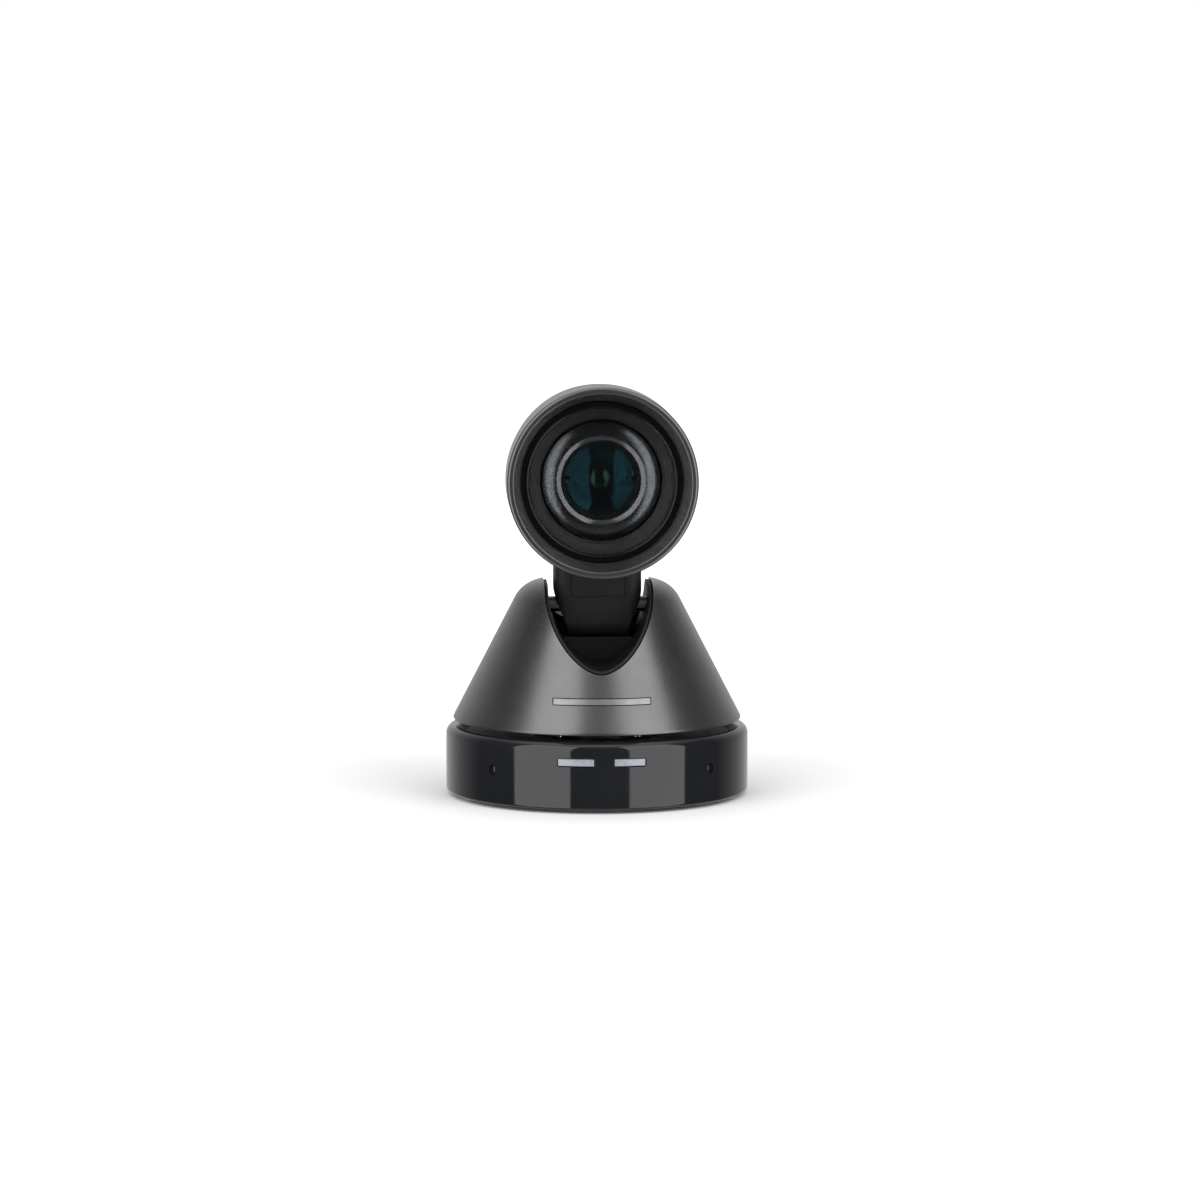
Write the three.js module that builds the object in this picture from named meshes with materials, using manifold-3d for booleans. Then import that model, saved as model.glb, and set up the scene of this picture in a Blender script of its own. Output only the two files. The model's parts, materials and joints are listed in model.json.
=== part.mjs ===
// A compact pan-tilt-zoom camera: a round base, a cone that pans on it, and a drum head on a
// neck that tilts in the cone's slot.
// Millimetres. +Z is up, the lens faces -Y, and the pan axis is the Z axis with its foot at z = 0.
import * as THREE from "three";
import { mergeVertices } from "three/addons/utils/BufferGeometryUtils.js";
import Module from "manifold-3d";

const wasm = await Module();
wasm.setup();

// ---------------------------------------------------------------- driving dimensions
// Overall
const baseDiameter = 118;
const baseTop = 27.2;
const housingTop = 86;
const headDiameter = 72.4;
const headClearance = 2.8; // between the housing's crown and the drum above it
const headFront = 57.9; // lens rim, in front of the pan axis
const headSeam = 16; // seam between the drum and its rear cap, behind the pan axis
const headBack = 46.5; // rear cap's pole, behind the pan axis

// Fits
const gap = 0.3; // between pieces that seat on, or sit beside, each other
const runningGap = 1; // between pieces that move past each other

// Base
const footHeight = 1.7;
const footRadius = 7;
const footInset = 5.6; // from the foot's edge to the ring's wall
const ringBottom = 1.5;
const ringWall = 2.4;
const ringLip = 2.2; // thickness of the flange that closes the ring's top
const plateBottom = 2;
const plateThickness = 2;
const tripodHoleRadius = 3.05;
const tripodHoleDepth = 8;
const tripodWall = 2.95;
const screwRadius = 1.4;
const screwBossWall = 1.8;
const boardEdgeGap = 2.7; // between the board and the ring's screw bosses
const boardThickness = 1.6;
const boardBottom = 8;

// Connectors, from the viewer's right to left at the back: width, height and depth of each
// shell, and the width and height of its socket (a round socket has one diameter)
const connectors = [
  { name: "dc_jack", shell: [9, 11, 12], socket: [6.4], depth: 9 },
  { name: "serial_port", shell: [9.5, 9.5, 10], socket: [7.8], depth: 6 },
  { name: "usb_port", shell: [13.2, 6.8, 13], socket: [11.6, 4.6], depth: 10 },
  { name: "hdmi_port", shell: [15, 6.6, 11], socket: [13.6, 4.6], depth: 8 },
  { name: "lan_port", shell: [15.9, 13.3, 14], socket: [11.8, 8.4], depth: 11 },
];
const connectorRib = 1.8; // panel left standing between two connectors
const connectorReach = 0.8; // how far a shell stands out of the panel
const panelThickness = 1.5;

// Status lights and infrared windows in the front of the ring
const statusWidths = { left: 13.6, right: 11.7 };
const statusHeight = 2.7;
const statusSpread = 10.2;
const statusCentre = 19.6;
const infraredAngle = 45;
const infraredRadius = 1.5;
const infraredCentre = 15;

// Pan drive
const gearModule = 1;
const pinionTeeth = 12;
const panGearThickness = 4;
const panGearStandOut = 2.1; // above the base ring's top
const spindleRadius = 12;
const spindleBore = 8;
const spindleFlange = 20;
const spindleFlangeThickness = 3;
const bushWall = 0.9;
const platformThickness = 2.4;
const hubWall = 3.5;
const hubHeight = 4.2;
const retainerThickness = 1.1;
const panMotorRadius = 9;
const panMotorHeight = 15;
const panMotorPlace = 0.62; // of the way from the hub to the housing's wall
const pinionShaftRadius = 1.5;

// Pan housing
const housingFoot = 29.2;
const housingWall = 2.1;
const housingSetBack = 3; // housing's foot inside the base ring's outline
const hornWidth = 11.7; // from the slot's side to the housing's shoulder
const shoulderDrop = 9; // below the housing's crown
const slotHalfWidth = 20.9;
const slotShoulderDrop = 5;
const slotFrontDrop = 33.7;
const slotFrontPower = 1.75;
const slotBackDrop = 20;
const slotBackPower = 3;
const linerInset = 0.35;
const linerWall = 1.6;
const linerSetBack = 0.4;
const nameBarWidth = 37;
const nameBarHeight = 2.2;
const nameBarCentre = 41.6;
const nameBarThickness = 0.7;

// Tilt drive
const tiltAxisDepth = 12; // below the housing's crown
const tiltGearTeeth = 46;
const tiltGearHalfAngle = 38;
const tiltGearThickness = 2.6;
const tiltShaftRadius = 3;
const tiltBushWall = 1.3;
const bracketThickness = 1.8;
const bracketHalfDepth = 8;
const tiltMotorRadius = 6.5;
const tiltMotorLength = 18;

// Neck
const neckSideGap = 2; // between the neck and the slot's liner
const neckHalfDepth = 12.5;
const neckWaist = [[3, 0.917], [-4, 0.74], [-13, 0.646]]; // height above the tilt axis, share of width
const neckCorner = 5;
const hubSwingRadius = 12;

// Head
const headWall = 2.2;
const glassEdgeGap = 2; // between the glass and the shell's wall
const glassThickness = 1.7;
const glassDepth = 12; // glass's front face behind the lens rim
const glassSeat = 1.7; // how far the trim ring's lip covers the glass
const trimWidth = 2.7;
const baffleWidth = 5;
const barrelFront = 41;
const barrelBack = 5;
const barrelRim = 7.8; // round the front lens
const barrelNose = 3.6; // how far back the rim's rounding reaches
const barrelStep = 1.3; // that the front lens seats on
const frontLensSeat = 7.8; // behind the barrel's front
const frontLensRise = 1.9;
const guideRodRadius = 0.8;
const guideRodInset = 2.5; // from the barrel's bore
const zoomGroupFront = 30;
const zoomGroupThickness = 5;
const focusGroupFront = 11.3;
const focusGroupThickness = 3;
const blockBack = 22;
const blockEdgeGap = 2.4; // between the camera block's edges and the drum's wall
const blockWall = 1.5;
const chassisThickness = 2;
const chassisEdgeGap = 1.67; // between the chassis's lower edges and the drum's wall

// ---------------------------------------------------------------- sizes that follow
const baseRadius = baseDiameter / 2;
const ringInner = baseRadius - ringWall;
const plateTop = plateBottom + plateThickness;
const lipBottom = baseTop - ringLip;
const headRadius = headDiameter / 2;
const headAxis = housingTop + headClearance + headRadius;
const tiltAxis = housingTop - tiltAxisDepth;

const pinionPitch = (pinionTeeth * gearModule) / 2;
const tiltGearPitch = (tiltGearTeeth * gearModule) / 2;
const toothTop = 0.9 * gearModule;
const toothFoot = 1.2 * gearModule;
const pinionTip = pinionPitch + toothTop;
const panGearTop = baseTop + panGearStandOut;
const panGearBottom = panGearTop - panGearThickness;
const hubBottom = panGearTop + runningGap;
const platformBottom = hubBottom + 0.5;
const platformTop = platformBottom + platformThickness;
const hubTop = hubBottom + hubHeight;
const bushOuter = spindleRadius + gap + bushWall;
const hubRadius = bushOuter + gap + hubWall;
const retainerTop = hubTop + gap + retainerThickness;

const shoulderRadius = slotHalfWidth + hornWidth;
const shoulderHeight = housingTop - shoulderDrop;
const slotShoulder = housingTop - slotShoulderDrop;
const coneFoot = baseRadius - housingSetBack;
const coneStart = housingFoot + 1.4;
const coneSlope = (coneFoot - shoulderRadius) / (shoulderHeight - coneStart);
const coneRadiusAt = (z) => coneFoot - coneSlope * (z - coneStart);
const coneInnerAt = (z) => coneRadiusAt(z) - housingWall * 1.1;
const platformRadius = coneInnerAt(platformTop) - gap;

// The pan motor's axis lies between the hub and the housing, as near as whole teeth allow.
const panMotorTop = platformTop + gap + panMotorHeight;
const motorNearest = hubRadius + gap + panMotorRadius;
const motorFarthest = coneInnerAt(panMotorTop) - gap - panMotorRadius;
const motorWanted = motorNearest + panMotorPlace * (motorFarthest - motorNearest);
const panGearTeeth = 2 * Math.round((motorWanted - pinionPitch) / gearModule);
const panGearPitch = (panGearTeeth * gearModule) / 2;
const panCentres = panGearPitch + pinionPitch;
const lipHole = panCentres + pinionTip + 4 * runningGap;

const linerInnerHalf = slotHalfWidth - linerInset - linerWall;
const linerPocket = hubSwingRadius + 3 * runningGap;
const linerBulkhead = -(tiltMotorRadius + 2.5 * runningGap);
const neckHalfWidth = linerInnerHalf - neckSideGap;
const bracketInner = slotHalfWidth + 3.7;
const bracketOuter = bracketInner + bracketThickness;
const tiltGearOuter = bracketInner - 0.4;
const tiltGearInner = tiltGearOuter - tiltGearThickness;
const tiltPinionHeight = tiltAxis - tiltGearPitch - pinionPitch;
const tiltMotorEnd = tiltGearInner - runningGap;

const glassFront = headFront - glassDepth;
const glassBack = glassFront - glassThickness;
const glassRadius = headRadius - headWall - glassEdgeGap;
const trimOuter = glassRadius - glassSeat;
const trimInner = trimOuter - trimWidth;
const barrelRadius = trimInner - baffleWidth;
const frontLensRadius = barrelRadius - barrelRim;
const barrelBore = frontLensRadius - barrelStep;
const guideRodCircle = barrelBore - guideRodInset;

// The drum's inside narrows from its widest place to its back.
const drumWidest = 32;
const drumTaper = 0.06;
const shellInner = (z) => headRadius - headWall - Math.max(0, drumWidest - z) * drumTaper;
const blockHalf = (shellInner(-blockBack) - blockEdgeGap) / Math.SQRT2;

// ---------------------------------------------------------------- solids and shapes
const FINE = 48;
const MIDDLE = 24;
const COARSE = 12;

// The closed solid of a three.js geometry, with its faces pointing out.
function solid(geometry) {
  geometry.deleteAttribute("normal");
  geometry.deleteAttribute("uv");
  const merged = mergeVertices(geometry, 1e-4);
  const corners = merged.index.array;
  const faces = [];
  for (let i = 0; i < corners.length; i += 3) {
    const [a, b, c] = corners.slice(i, i + 3);
    if (a !== b && b !== c && c !== a) faces.push(a, b, c);
  }
  const made = () =>
    new wasm.Manifold(
      new wasm.Mesh({
        numProp: 3,
        vertProperties: new Float32Array(merged.attributes.position.array),
        triVerts: new Uint32Array(faces),
      }),
    );
  const first = made();
  if (first.volume() > 0) return first;
  faces.reverse();
  return made();
}

// The named mesh of a finished solid.
function piece(name, made, material) {
  const result = made.getMesh();
  const geometry = new THREE.BufferGeometry();
  geometry.setAttribute("position", new THREE.BufferAttribute(result.vertProperties, 3));
  geometry.setIndex(new THREE.BufferAttribute(result.triVerts, 1));
  geometry.computeVertexNormals();
  const mesh = new THREE.Mesh(geometry, material);
  mesh.name = name;
  return mesh;
}

// A solid of revolution about Z. The profile's points are [radius, z].
function turned(profile, segments = FINE) {
  const points = profile.map(([radius, z]) => new THREE.Vector2(radius, z));
  const closed = profile[0][0] > 0;
  if (closed) points.push(points[0].clone());
  return solid(new THREE.LatheGeometry(points, segments).rotateX(Math.PI / 2));
}

function disc(radius, bottom, top, segments = MIDDLE, x = 0, y = 0) {
  const height = top - bottom;
  const geometry = new THREE.CylinderGeometry(radius, radius, height, segments);
  return solid(geometry.rotateX(Math.PI / 2).translate(x, y, bottom + height / 2));
}

function block(x0, x1, y0, y1, z0, z1) {
  const geometry = new THREE.BoxGeometry(x1 - x0, y1 - y0, z1 - z0);
  return solid(geometry.translate((x0 + x1) / 2, (y0 + y1) / 2, (z0 + z1) / 2));
}

function rodX(radius, x0, x1, y, z, segments = COARSE) {
  const geometry = new THREE.CylinderGeometry(radius, radius, x1 - x0, segments);
  return solid(geometry.rotateZ(Math.PI / 2).translate((x0 + x1) / 2, y, z));
}

function rodY(radius, y0, y1, x, z, segments = COARSE) {
  const geometry = new THREE.CylinderGeometry(radius, radius, y1 - y0, segments);
  return solid(geometry.translate(x, (y0 + y1) / 2, z));
}

function outline(points) {
  return new THREE.Shape(points.map(([u, v]) => new THREE.Vector2(u, v)));
}

// An outline of [x, z] points swept along Y, an outline of [y, z] points swept along X,
// and an outline of [x, y] points swept along Z.
function sweptY(points, y0, y1) {
  const geometry = new THREE.ExtrudeGeometry(outline(points), { depth: y1 - y0, bevelEnabled: false });
  return solid(geometry.rotateX(Math.PI / 2).translate(0, y1, 0));
}

function sweptX(points, x0, x1) {
  const turnedPoints = points.map(([y, z]) => [-z, y]);
  const geometry = new THREE.ExtrudeGeometry(outline(turnedPoints), { depth: x1 - x0, bevelEnabled: false });
  return solid(geometry.rotateY(Math.PI / 2).translate(x0, 0, 0));
}

function sweptZ(points, z0, z1) {
  const geometry = new THREE.ExtrudeGeometry(outline(points), { depth: z1 - z0, bevelEnabled: false });
  return solid(geometry.translate(0, 0, z0));
}

function joined(...solids) {
  return solids.reduce((whole, part) => whole.add(part));
}

function cut(body, ...tools) {
  return tools.reduce((whole, tool) => whole.subtract(tool), body);
}

// Points of a rounded rectangle, centred on the origin.
function roundedRectangle(halfWidth, halfDepth, corner, steps = 4) {
  const points = [];
  for (let quarter = 0; quarter < 4; quarter += 1) {
    const sideX = quarter === 0 || quarter === 3 ? 1 : -1;
    const sideY = quarter < 2 ? 1 : -1;
    for (let step = 0; step <= steps; step += 1) {
      const angle = (quarter + step / steps) * (Math.PI / 2);
      points.push([
        sideX * (halfWidth - corner) + corner * Math.cos(angle),
        sideY * (halfDepth - corner) + corner * Math.sin(angle),
      ]);
    }
  }
  return points;
}

// Points of a toothed wheel, or of a toothed sector, about the origin. Teeth have straight
// flanks at 20 degrees, and are thinner than half a pitch to leave backlash.
function toothedOutline(teeth, firstAngle, count = teeth) {
  const pitchRadius = (teeth * gearModule) / 2;
  const halfPitch = Math.PI / teeth;
  const halfThickness = 0.21 * Math.PI * gearModule;
  const lean = Math.tan(Math.PI / 9);
  const tipRadius = pitchRadius + toothTop;
  const rootRadius = pitchRadius - toothFoot;
  const tipAngle = (halfThickness - toothTop * lean) / tipRadius;
  const rootAngle = Math.min((halfThickness + toothFoot * lean) / rootRadius, 0.9 * halfPitch);
  const points = [];
  for (let tooth = 0; tooth < count; tooth += 1) {
    const centre = firstAngle + tooth * 2 * halfPitch;
    const corners = [
      [rootRadius, -rootAngle],
      [tipRadius, -tipAngle],
      [tipRadius, tipAngle],
      [rootRadius, rootAngle],
    ];
    for (const [radius, offset] of corners) {
      points.push([radius * Math.cos(centre + offset), radius * Math.sin(centre + offset)]);
    }
  }
  return points;
}

// The slot's section, [x, z]: straight sides above its shoulder, a rounded bottom below it.
function slotOutline(inset, drop, power, steps = 16) {
  const halfWidth = slotHalfWidth - inset;
  const depth = drop - slotShoulderDrop - inset;
  const above = housingTop + 20;
  const points = [[halfWidth, above]];
  for (let step = 0; step <= steps; step += 1) {
    const angle = (step / steps) * Math.PI;
    const across = Math.abs(Math.cos(angle)) ** (2 / power);
    const down = Math.sin(angle) ** (2 / power);
    points.push([Math.sign(Math.cos(angle)) * halfWidth * across, slotShoulder - depth * down]);
  }
  points.push([-halfWidth, above]);
  return points;
}

// ---------------------------------------------------------------- materials
function finish(color, roughness, metalness) {
  return new THREE.MeshStandardMaterial({ color, roughness, metalness });
}

const housingGrey = finish(0x5a5b5c, 0.38, 0.7);
const bandGloss = finish(0x15161a, 0.12, 0);
const mattBlack = finish(0x121214, 0.6, 0);
const motorBlack = finish(0x242528, 0.45, 0.3);
const steel = finish(0xb6b8ba, 0.35, 1);
const aluminium = finish(0xc4c6c8, 0.45, 1);
const brass = finish(0xb99a4c, 0.35, 1);
const rubber = finish(0x1a1a1a, 0.9, 0);
const acetal = finish(0xe6e4dc, 0.55, 0);
const circuitGreen = finish(0x1d4a33, 0.5, 0);
const portMetal = finish(0xa8aaac, 0.3, 1);
const clearGlass = finish(0x1c2224, 0.05, 0);
const coatedGlass = finish(0x0a2a2e, 0.05, 0);
const lightWindow = finish(0xe8edf0, 0.3, 0);

// ---------------------------------------------------------------- base
const bossRadius = screwRadius + screwBossWall;
const bossCircle = ringInner - bossRadius + 0.5;
const boardRadius = bossCircle - bossRadius - boardEdgeGap;
const footCircle = ringInner - footInset - footRadius;
const bossAngles = [20, 160, 200, 340].map((angle) => (angle * Math.PI) / 180);
const bossPlaces = bossAngles.map((angle) => [bossCircle * Math.cos(angle), bossCircle * Math.sin(angle)]);

const connectorWidth = connectors.reduce((sum, connector) => sum + connector.shell[0], 0);
const panelHalfWidth = (connectorWidth + (connectors.length + 1) * connectorRib) / 2;
const panelOuter = Math.sqrt((ringInner - gap) ** 2 - panelHalfWidth ** 2);
const panelInner = panelOuter - panelThickness;
const connectorBottom = boardBottom + boardThickness + gap;

// A round pin through the ring's front wall, made at -Y and turned about the pan axis in degrees.
function frontPin(radius, inner, outer, turn) {
  return rodY(radius, -outer, -inner, 0, infraredCentre).rotate([0, 0, turn]);
}

// The stretch of the ring's wall in front of a window of the given width, on one side.
function statusTile(width, height, side, inner, outer) {
  const middle = side * statusSpread;
  const shell = turned([
    [inner, statusCentre - height / 2],
    [outer, statusCentre - height / 2],
    [outer, statusCentre + height / 2],
    [inner, statusCentre + height / 2],
  ]);
  return shell.intersect(block(middle - width / 2, middle + width / 2, -baseRadius - 2, 0, 0, baseTop));
}

function baseRing() {
  const shell = turned([
    [baseRadius - 1.8, ringBottom],
    [baseRadius - 0.6, ringBottom + 0.8],
    [baseRadius, ringBottom + 3.5],
    [baseRadius, baseTop - 3],
    [baseRadius - 0.4, baseTop - 1.2],
    [baseRadius - 1.3, baseTop - 0.3],
    [baseRadius - 2.6, baseTop],
    [lipHole, baseTop],
    [lipHole, lipBottom],
    [ringInner, lipBottom],
    [ringInner, ringBottom],
  ]);
  const bosses = bossPlaces.map(([x, y]) =>
    disc(bossRadius, plateTop + gap, lipBottom + 0.5, COARSE, x, y),
  );
  const pilots = bossPlaces.map(([x, y]) =>
    disc(screwRadius + gap, 0, plateTop + 9, COARSE, x, y),
  );
  const windowHalf = panelHalfWidth + gap;
  const window = block(-windowHalf, windowHalf, 0, baseRadius + 5, plateTop + 1, baseTop - 5);
  const holes = [];
  for (const [side, width] of [[-1, statusWidths.left], [1, statusWidths.right]]) {
    holes.push(statusTile(width + 2 * gap, statusHeight + 2 * gap, side, ringInner - 1, baseRadius + 1));
  }
  for (const turn of [-infraredAngle, infraredAngle]) {
    holes.push(frontPin(infraredRadius + gap, ringInner - 1, baseRadius + 1, turn));
  }
  return cut(joined(shell, ...bosses), window, ...pilots, ...holes);
}

function basePlate() {
  const plate = disc(ringInner - gap, plateBottom, plateTop, FINE);
  const posts = [[-30, -18], [30, -18], [-30, 18], [30, 18]].map(([x, y]) =>
    disc(3, plateTop - 0.5, boardBottom - gap, COARSE, x, y),
  );
  const screwHoles = bossPlaces.map(([x, y]) => disc(screwRadius + gap, 0, plateTop + 1, COARSE, x, y));
  const tripodHole = disc(tripodHoleRadius + tripodWall + gap, 0, plateTop + 1);
  return cut(joined(plate, ...posts), tripodHole, ...screwHoles);
}

function tripodBush() {
  const outer = tripodHoleRadius + tripodWall;
  const flange = outer + 2;
  const bottom = 1;
  const top = bottom + tripodHoleDepth + 1.2;
  return turned(
    [
      [0, top],
      [outer, top],
      [outer, plateBottom - gap],
      [flange, plateBottom - gap],
      [flange, bottom],
      [tripodHoleRadius, bottom],
      [tripodHoleRadius, bottom + tripodHoleDepth],
      [0, bottom + tripodHoleDepth],
    ],
    MIDDLE,
  );
}

function baseScrew([x, y]) {
  const shank = disc(screwRadius, plateBottom - 0.5, plateTop + 8, COARSE, x, y);
  const head = disc(2.6, plateBottom - 1.3, plateBottom - gap, COARSE, x, y);
  const recess = disc(1, plateBottom - 2, plateBottom - 0.8, 6, x, y);
  return cut(joined(shank, head), recess);
}

function mainBoard() {
  const board = disc(boardRadius, boardBottom, boardBottom + boardThickness, FINE);
  const behindPanel = block(-60, 60, panelInner - gap, 60, 0, baseTop);
  return cut(board, disc(spindleRadius + 4, 0, baseTop), behindPanel);
}

// Each connector with its left edge's place, in order across the panel.
function placedConnectors() {
  let x = -panelHalfWidth + connectorRib;
  return connectors.map((connector) => {
    const left = x;
    x += connector.shell[0] + connectorRib;
    return { ...connector, left, middle: left + connector.shell[0] / 2 };
  });
}

function ioPanel() {
  const bottom = plateTop + gap;
  const top = lipBottom - gap;
  const panel = block(-panelHalfWidth, panelHalfWidth, panelInner, panelOuter, bottom, top);
  const holes = placedConnectors().map(({ left, shell: [width, height] }) =>
    block(
      left - gap,
      left + width + gap,
      panelInner - 1,
      panelOuter + 1,
      connectorBottom - gap,
      connectorBottom + height + gap,
    ),
  );
  return cut(panel, ...holes);
}

function connectorShell({ left, middle, shell, socket, depth }) {
  const [width, height, length] = shell;
  const face = panelOuter + connectorReach;
  const body = block(left, left + width, face - length, face, connectorBottom, connectorBottom + height);
  const centre = connectorBottom + height / 2;
  if (socket.length === 1) {
    return cut(body, rodY(socket[0] / 2, face - depth, face + 1, middle, centre));
  }
  const across = socket[0] / 2;
  const up = socket[1] / 2;
  const mouth = block(middle - across, middle + across, face - depth, face + 1, centre - up, centre + up);
  return cut(body, mouth);
}

function panSpindle() {
  const shoulder = spindleRadius + 2;
  const flangeBottom = plateTop + gap;
  const flangeTop = flangeBottom + spindleFlangeThickness;
  return turned(
    [
      [spindleBore, flangeBottom],
      [spindleFlange, flangeBottom],
      [spindleFlange, flangeTop],
      [shoulder, flangeTop],
      [shoulder, panGearBottom - gap],
      [spindleRadius, panGearBottom - gap],
      [spindleRadius, retainerTop],
      [spindleBore, retainerTop],
    ],
    MIDDLE,
  );
}

function panGear() {
  const wheel = sweptZ(toothedOutline(panGearTeeth, Math.PI / 2), panGearBottom, panGearTop);
  return cut(wheel, disc(spindleRadius + gap, 0, housingTop));
}

// ---------------------------------------------------------------- pan body
// The housing's outside from its foot to its crown, or a skin the given distance inside it.
function housingSkin(inset) {
  return [
    [coneRadiusAt(housingFoot) - 2.1 - inset, housingFoot],
    [coneRadiusAt(housingFoot) - 1 - inset, housingFoot + 0.4],
    [coneRadiusAt(coneStart) - inset * 1.1, coneStart],
    [coneRadiusAt(shoulderHeight) - inset * 1.1, shoulderHeight],
    [shoulderRadius - 1.7 - inset, shoulderHeight + 2.3 - inset * 0.4],
    [shoulderRadius - 4.5 - inset * 0.9, shoulderHeight + 4.7 - inset * 0.7],
    [shoulderRadius - 7.1 - inset * 0.7, shoulderHeight + 6.4 - inset * 0.9],
    [shoulderRadius - 10.6 - inset * 0.4, housingTop - 1.2 - inset],
    [0, housingTop - inset],
  ];
}

function coneBody(inset) {
  return turned([[0, housingFoot], ...housingSkin(inset)]);
}

// A strip of the cone's surface in front, between two depths below it.
function nameStrip(halfWidth, halfHeight, outerDepth, innerDepth) {
  const strip = block(
    -halfWidth,
    halfWidth,
    -baseRadius,
    0,
    nameBarCentre - halfHeight,
    nameBarCentre + halfHeight,
  );
  return cut(coneBody(outerDepth), coneBody(innerDepth)).intersect(strip);
}

function slotVoid(inset, frontEnd, pocketRadius) {
  const reach = baseRadius + 10;
  const deep = sweptY(slotOutline(inset, slotFrontDrop, slotFrontPower), -reach, reach);
  const front = deep.intersect(block(-reach, reach, -reach, frontEnd, 0, housingTop + 30));
  const pocket = deep.intersect(rodX(pocketRadius, -reach, reach, 0, tiltAxis, MIDDLE));
  const back = sweptY(slotOutline(inset, slotBackDrop, slotBackPower), frontEnd, reach);
  return joined(front, pocket, back);
}

function panHousing() {
  const innerSkin = housingSkin(housingWall);
  const outerSkin = housingSkin(0);
  const shell = turned([...innerSkin.slice().reverse(), ...outerSkin]);
  const pocket = nameStrip(nameBarWidth / 2 + gap, nameBarHeight / 2 + gap, -1, nameBarThickness + gap);
  return cut(shell, slotVoid(0, linerBulkhead, linerPocket), pocket);
}

function slotLiner() {
  const outer = slotVoid(linerInset, linerBulkhead + linerWall, linerPocket + linerWall);
  const inner = slotVoid(linerInset + linerWall, linerBulkhead, linerPocket);
  const shaftHole = rodX(tiltShaftRadius + 0.5, -slotHalfWidth, slotHalfWidth, 0, tiltAxis);
  return cut(outer.intersect(coneBody(linerSetBack)), inner, shaftHole);
}

function panPlatform() {
  const plate = disc(platformRadius, platformBottom, platformTop, FINE);
  const hub = disc(hubRadius, hubBottom, hubTop, MIDDLE);
  const bore = disc(bushOuter + gap, 0, housingTop);
  const shaftHole = disc(pinionShaftRadius + 2, 0, housingTop, COARSE, 0, panCentres);
  return cut(joined(plate, hub), bore, shaftHole);
}

function panBush() {
  return turned(
    [
      [spindleRadius + gap, panGearTop + gap],
      [bushOuter + 2.8, panGearTop + gap],
      [bushOuter + 2.8, hubBottom - gap],
      [bushOuter, hubBottom - gap],
      [bushOuter, hubTop],
      [spindleRadius + gap, hubTop],
    ],
    MIDDLE,
  );
}

function panRetainer() {
  return turned(
    [
      [spindleRadius + gap, hubTop + gap],
      [hubRadius - 1, hubTop + gap],
      [hubRadius - 1, retainerTop],
      [spindleRadius + gap, retainerTop],
    ],
    MIDDLE,
  );
}

function tiltBracket(side) {
  const across = (near, far) => (side > 0 ? [near, far] : [-far, -near]);
  const foot = platformTop + gap;
  const topLimit = tiltAxis + tiltShaftRadius + tiltBushWall + 1.2;
  const postOutline = [
    [-bracketHalfDepth, foot],
    [bracketHalfDepth, foot],
    [bracketHalfDepth, tiltAxis - 4],
    [bracketHalfDepth - 2.5, topLimit],
    [2.5 - bracketHalfDepth, topLimit],
    [-bracketHalfDepth, tiltAxis - 4],
  ];
  const room = coneBody(housingWall + gap);
  const post = sweptX(postOutline, ...across(bracketInner, bracketOuter)).intersect(room);
  const [footNear, footFar] = across(hubRadius + 2 * gap, bracketOuter);
  const base = block(footNear, footFar, -bracketHalfDepth, bracketHalfDepth, foot, foot + bracketThickness);
  const bushHole = rodX(
    tiltShaftRadius + tiltBushWall + 2 * gap,
    ...across(bracketInner - 1, bracketOuter + 1),
    0,
    tiltAxis,
  );
  if (side < 0) return cut(joined(post, base), bushHole);
  const shelfTop = tiltPinionHeight - tiltMotorRadius - gap;
  const shelf = block(
    tiltMotorEnd - tiltMotorLength,
    bracketInner + bracketThickness / 2,
    -tiltMotorRadius,
    tiltMotorRadius,
    shelfTop - bracketThickness,
    shelfTop,
  );
  const [reliefStart, reliefEnd] = [tiltGearInner - gap, bracketInner];
  const relief = rodX(pinionTip + 2 * gap, reliefStart, reliefEnd, 0, tiltPinionHeight, MIDDLE);
  return cut(joined(post, base, shelf), bushHole, relief);
}

function tiltBush(side) {
  const inner = tiltShaftRadius + gap;
  const near = bracketInner - 0.2;
  const far = bracketOuter + gap;
  const [x0, x1] = side > 0 ? [near, far] : [-far, -near];
  const sleeve = rodX(inner + tiltBushWall, x0, x1, 0, tiltAxis);
  return cut(sleeve, rodX(inner, x0 - 1, x1 + 1, 0, tiltAxis));
}

function panMotor() {
  const bottom = platformTop + gap;
  const can = disc(panMotorRadius, bottom, panMotorTop, MIDDLE, 0, panCentres);
  const shaftBore = disc(pinionShaftRadius + gap, 0, bottom + 4, COARSE, 0, panCentres);
  return cut(can, shaftBore);
}

function panPinion() {
  const firstAngle = -Math.PI / 2 + Math.PI / pinionTeeth;
  const wheel = sweptZ(toothedOutline(pinionTeeth, firstAngle), panGearBottom + 0.5, panGearTop - 0.5);
  const shaft = disc(pinionShaftRadius, panGearTop - 1, platformTop + 3.5, COARSE);
  return joined(wheel, shaft).translate([0, panCentres, 0]);
}

function tiltMotor() {
  const back = tiltMotorEnd - tiltMotorLength;
  const can = rodX(tiltMotorRadius, back, tiltMotorEnd, 0, tiltPinionHeight, MIDDLE);
  const shaftBore = rodX(pinionShaftRadius + gap, tiltMotorEnd - 4, tiltMotorEnd + 1, 0, tiltPinionHeight);
  return cut(can, shaftBore);
}

function tiltPinion() {
  const firstAngle = Math.PI / 2 + Math.PI / pinionTeeth;
  const wheel = sweptX(toothedOutline(pinionTeeth, firstAngle), tiltGearInner + gap, tiltGearOuter - gap);
  const shaft = rodX(pinionShaftRadius, tiltMotorEnd - 3, tiltGearInner + 1, 0, 0);
  return joined(wheel, shaft).translate([0, 0, tiltPinionHeight]);
}

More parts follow.
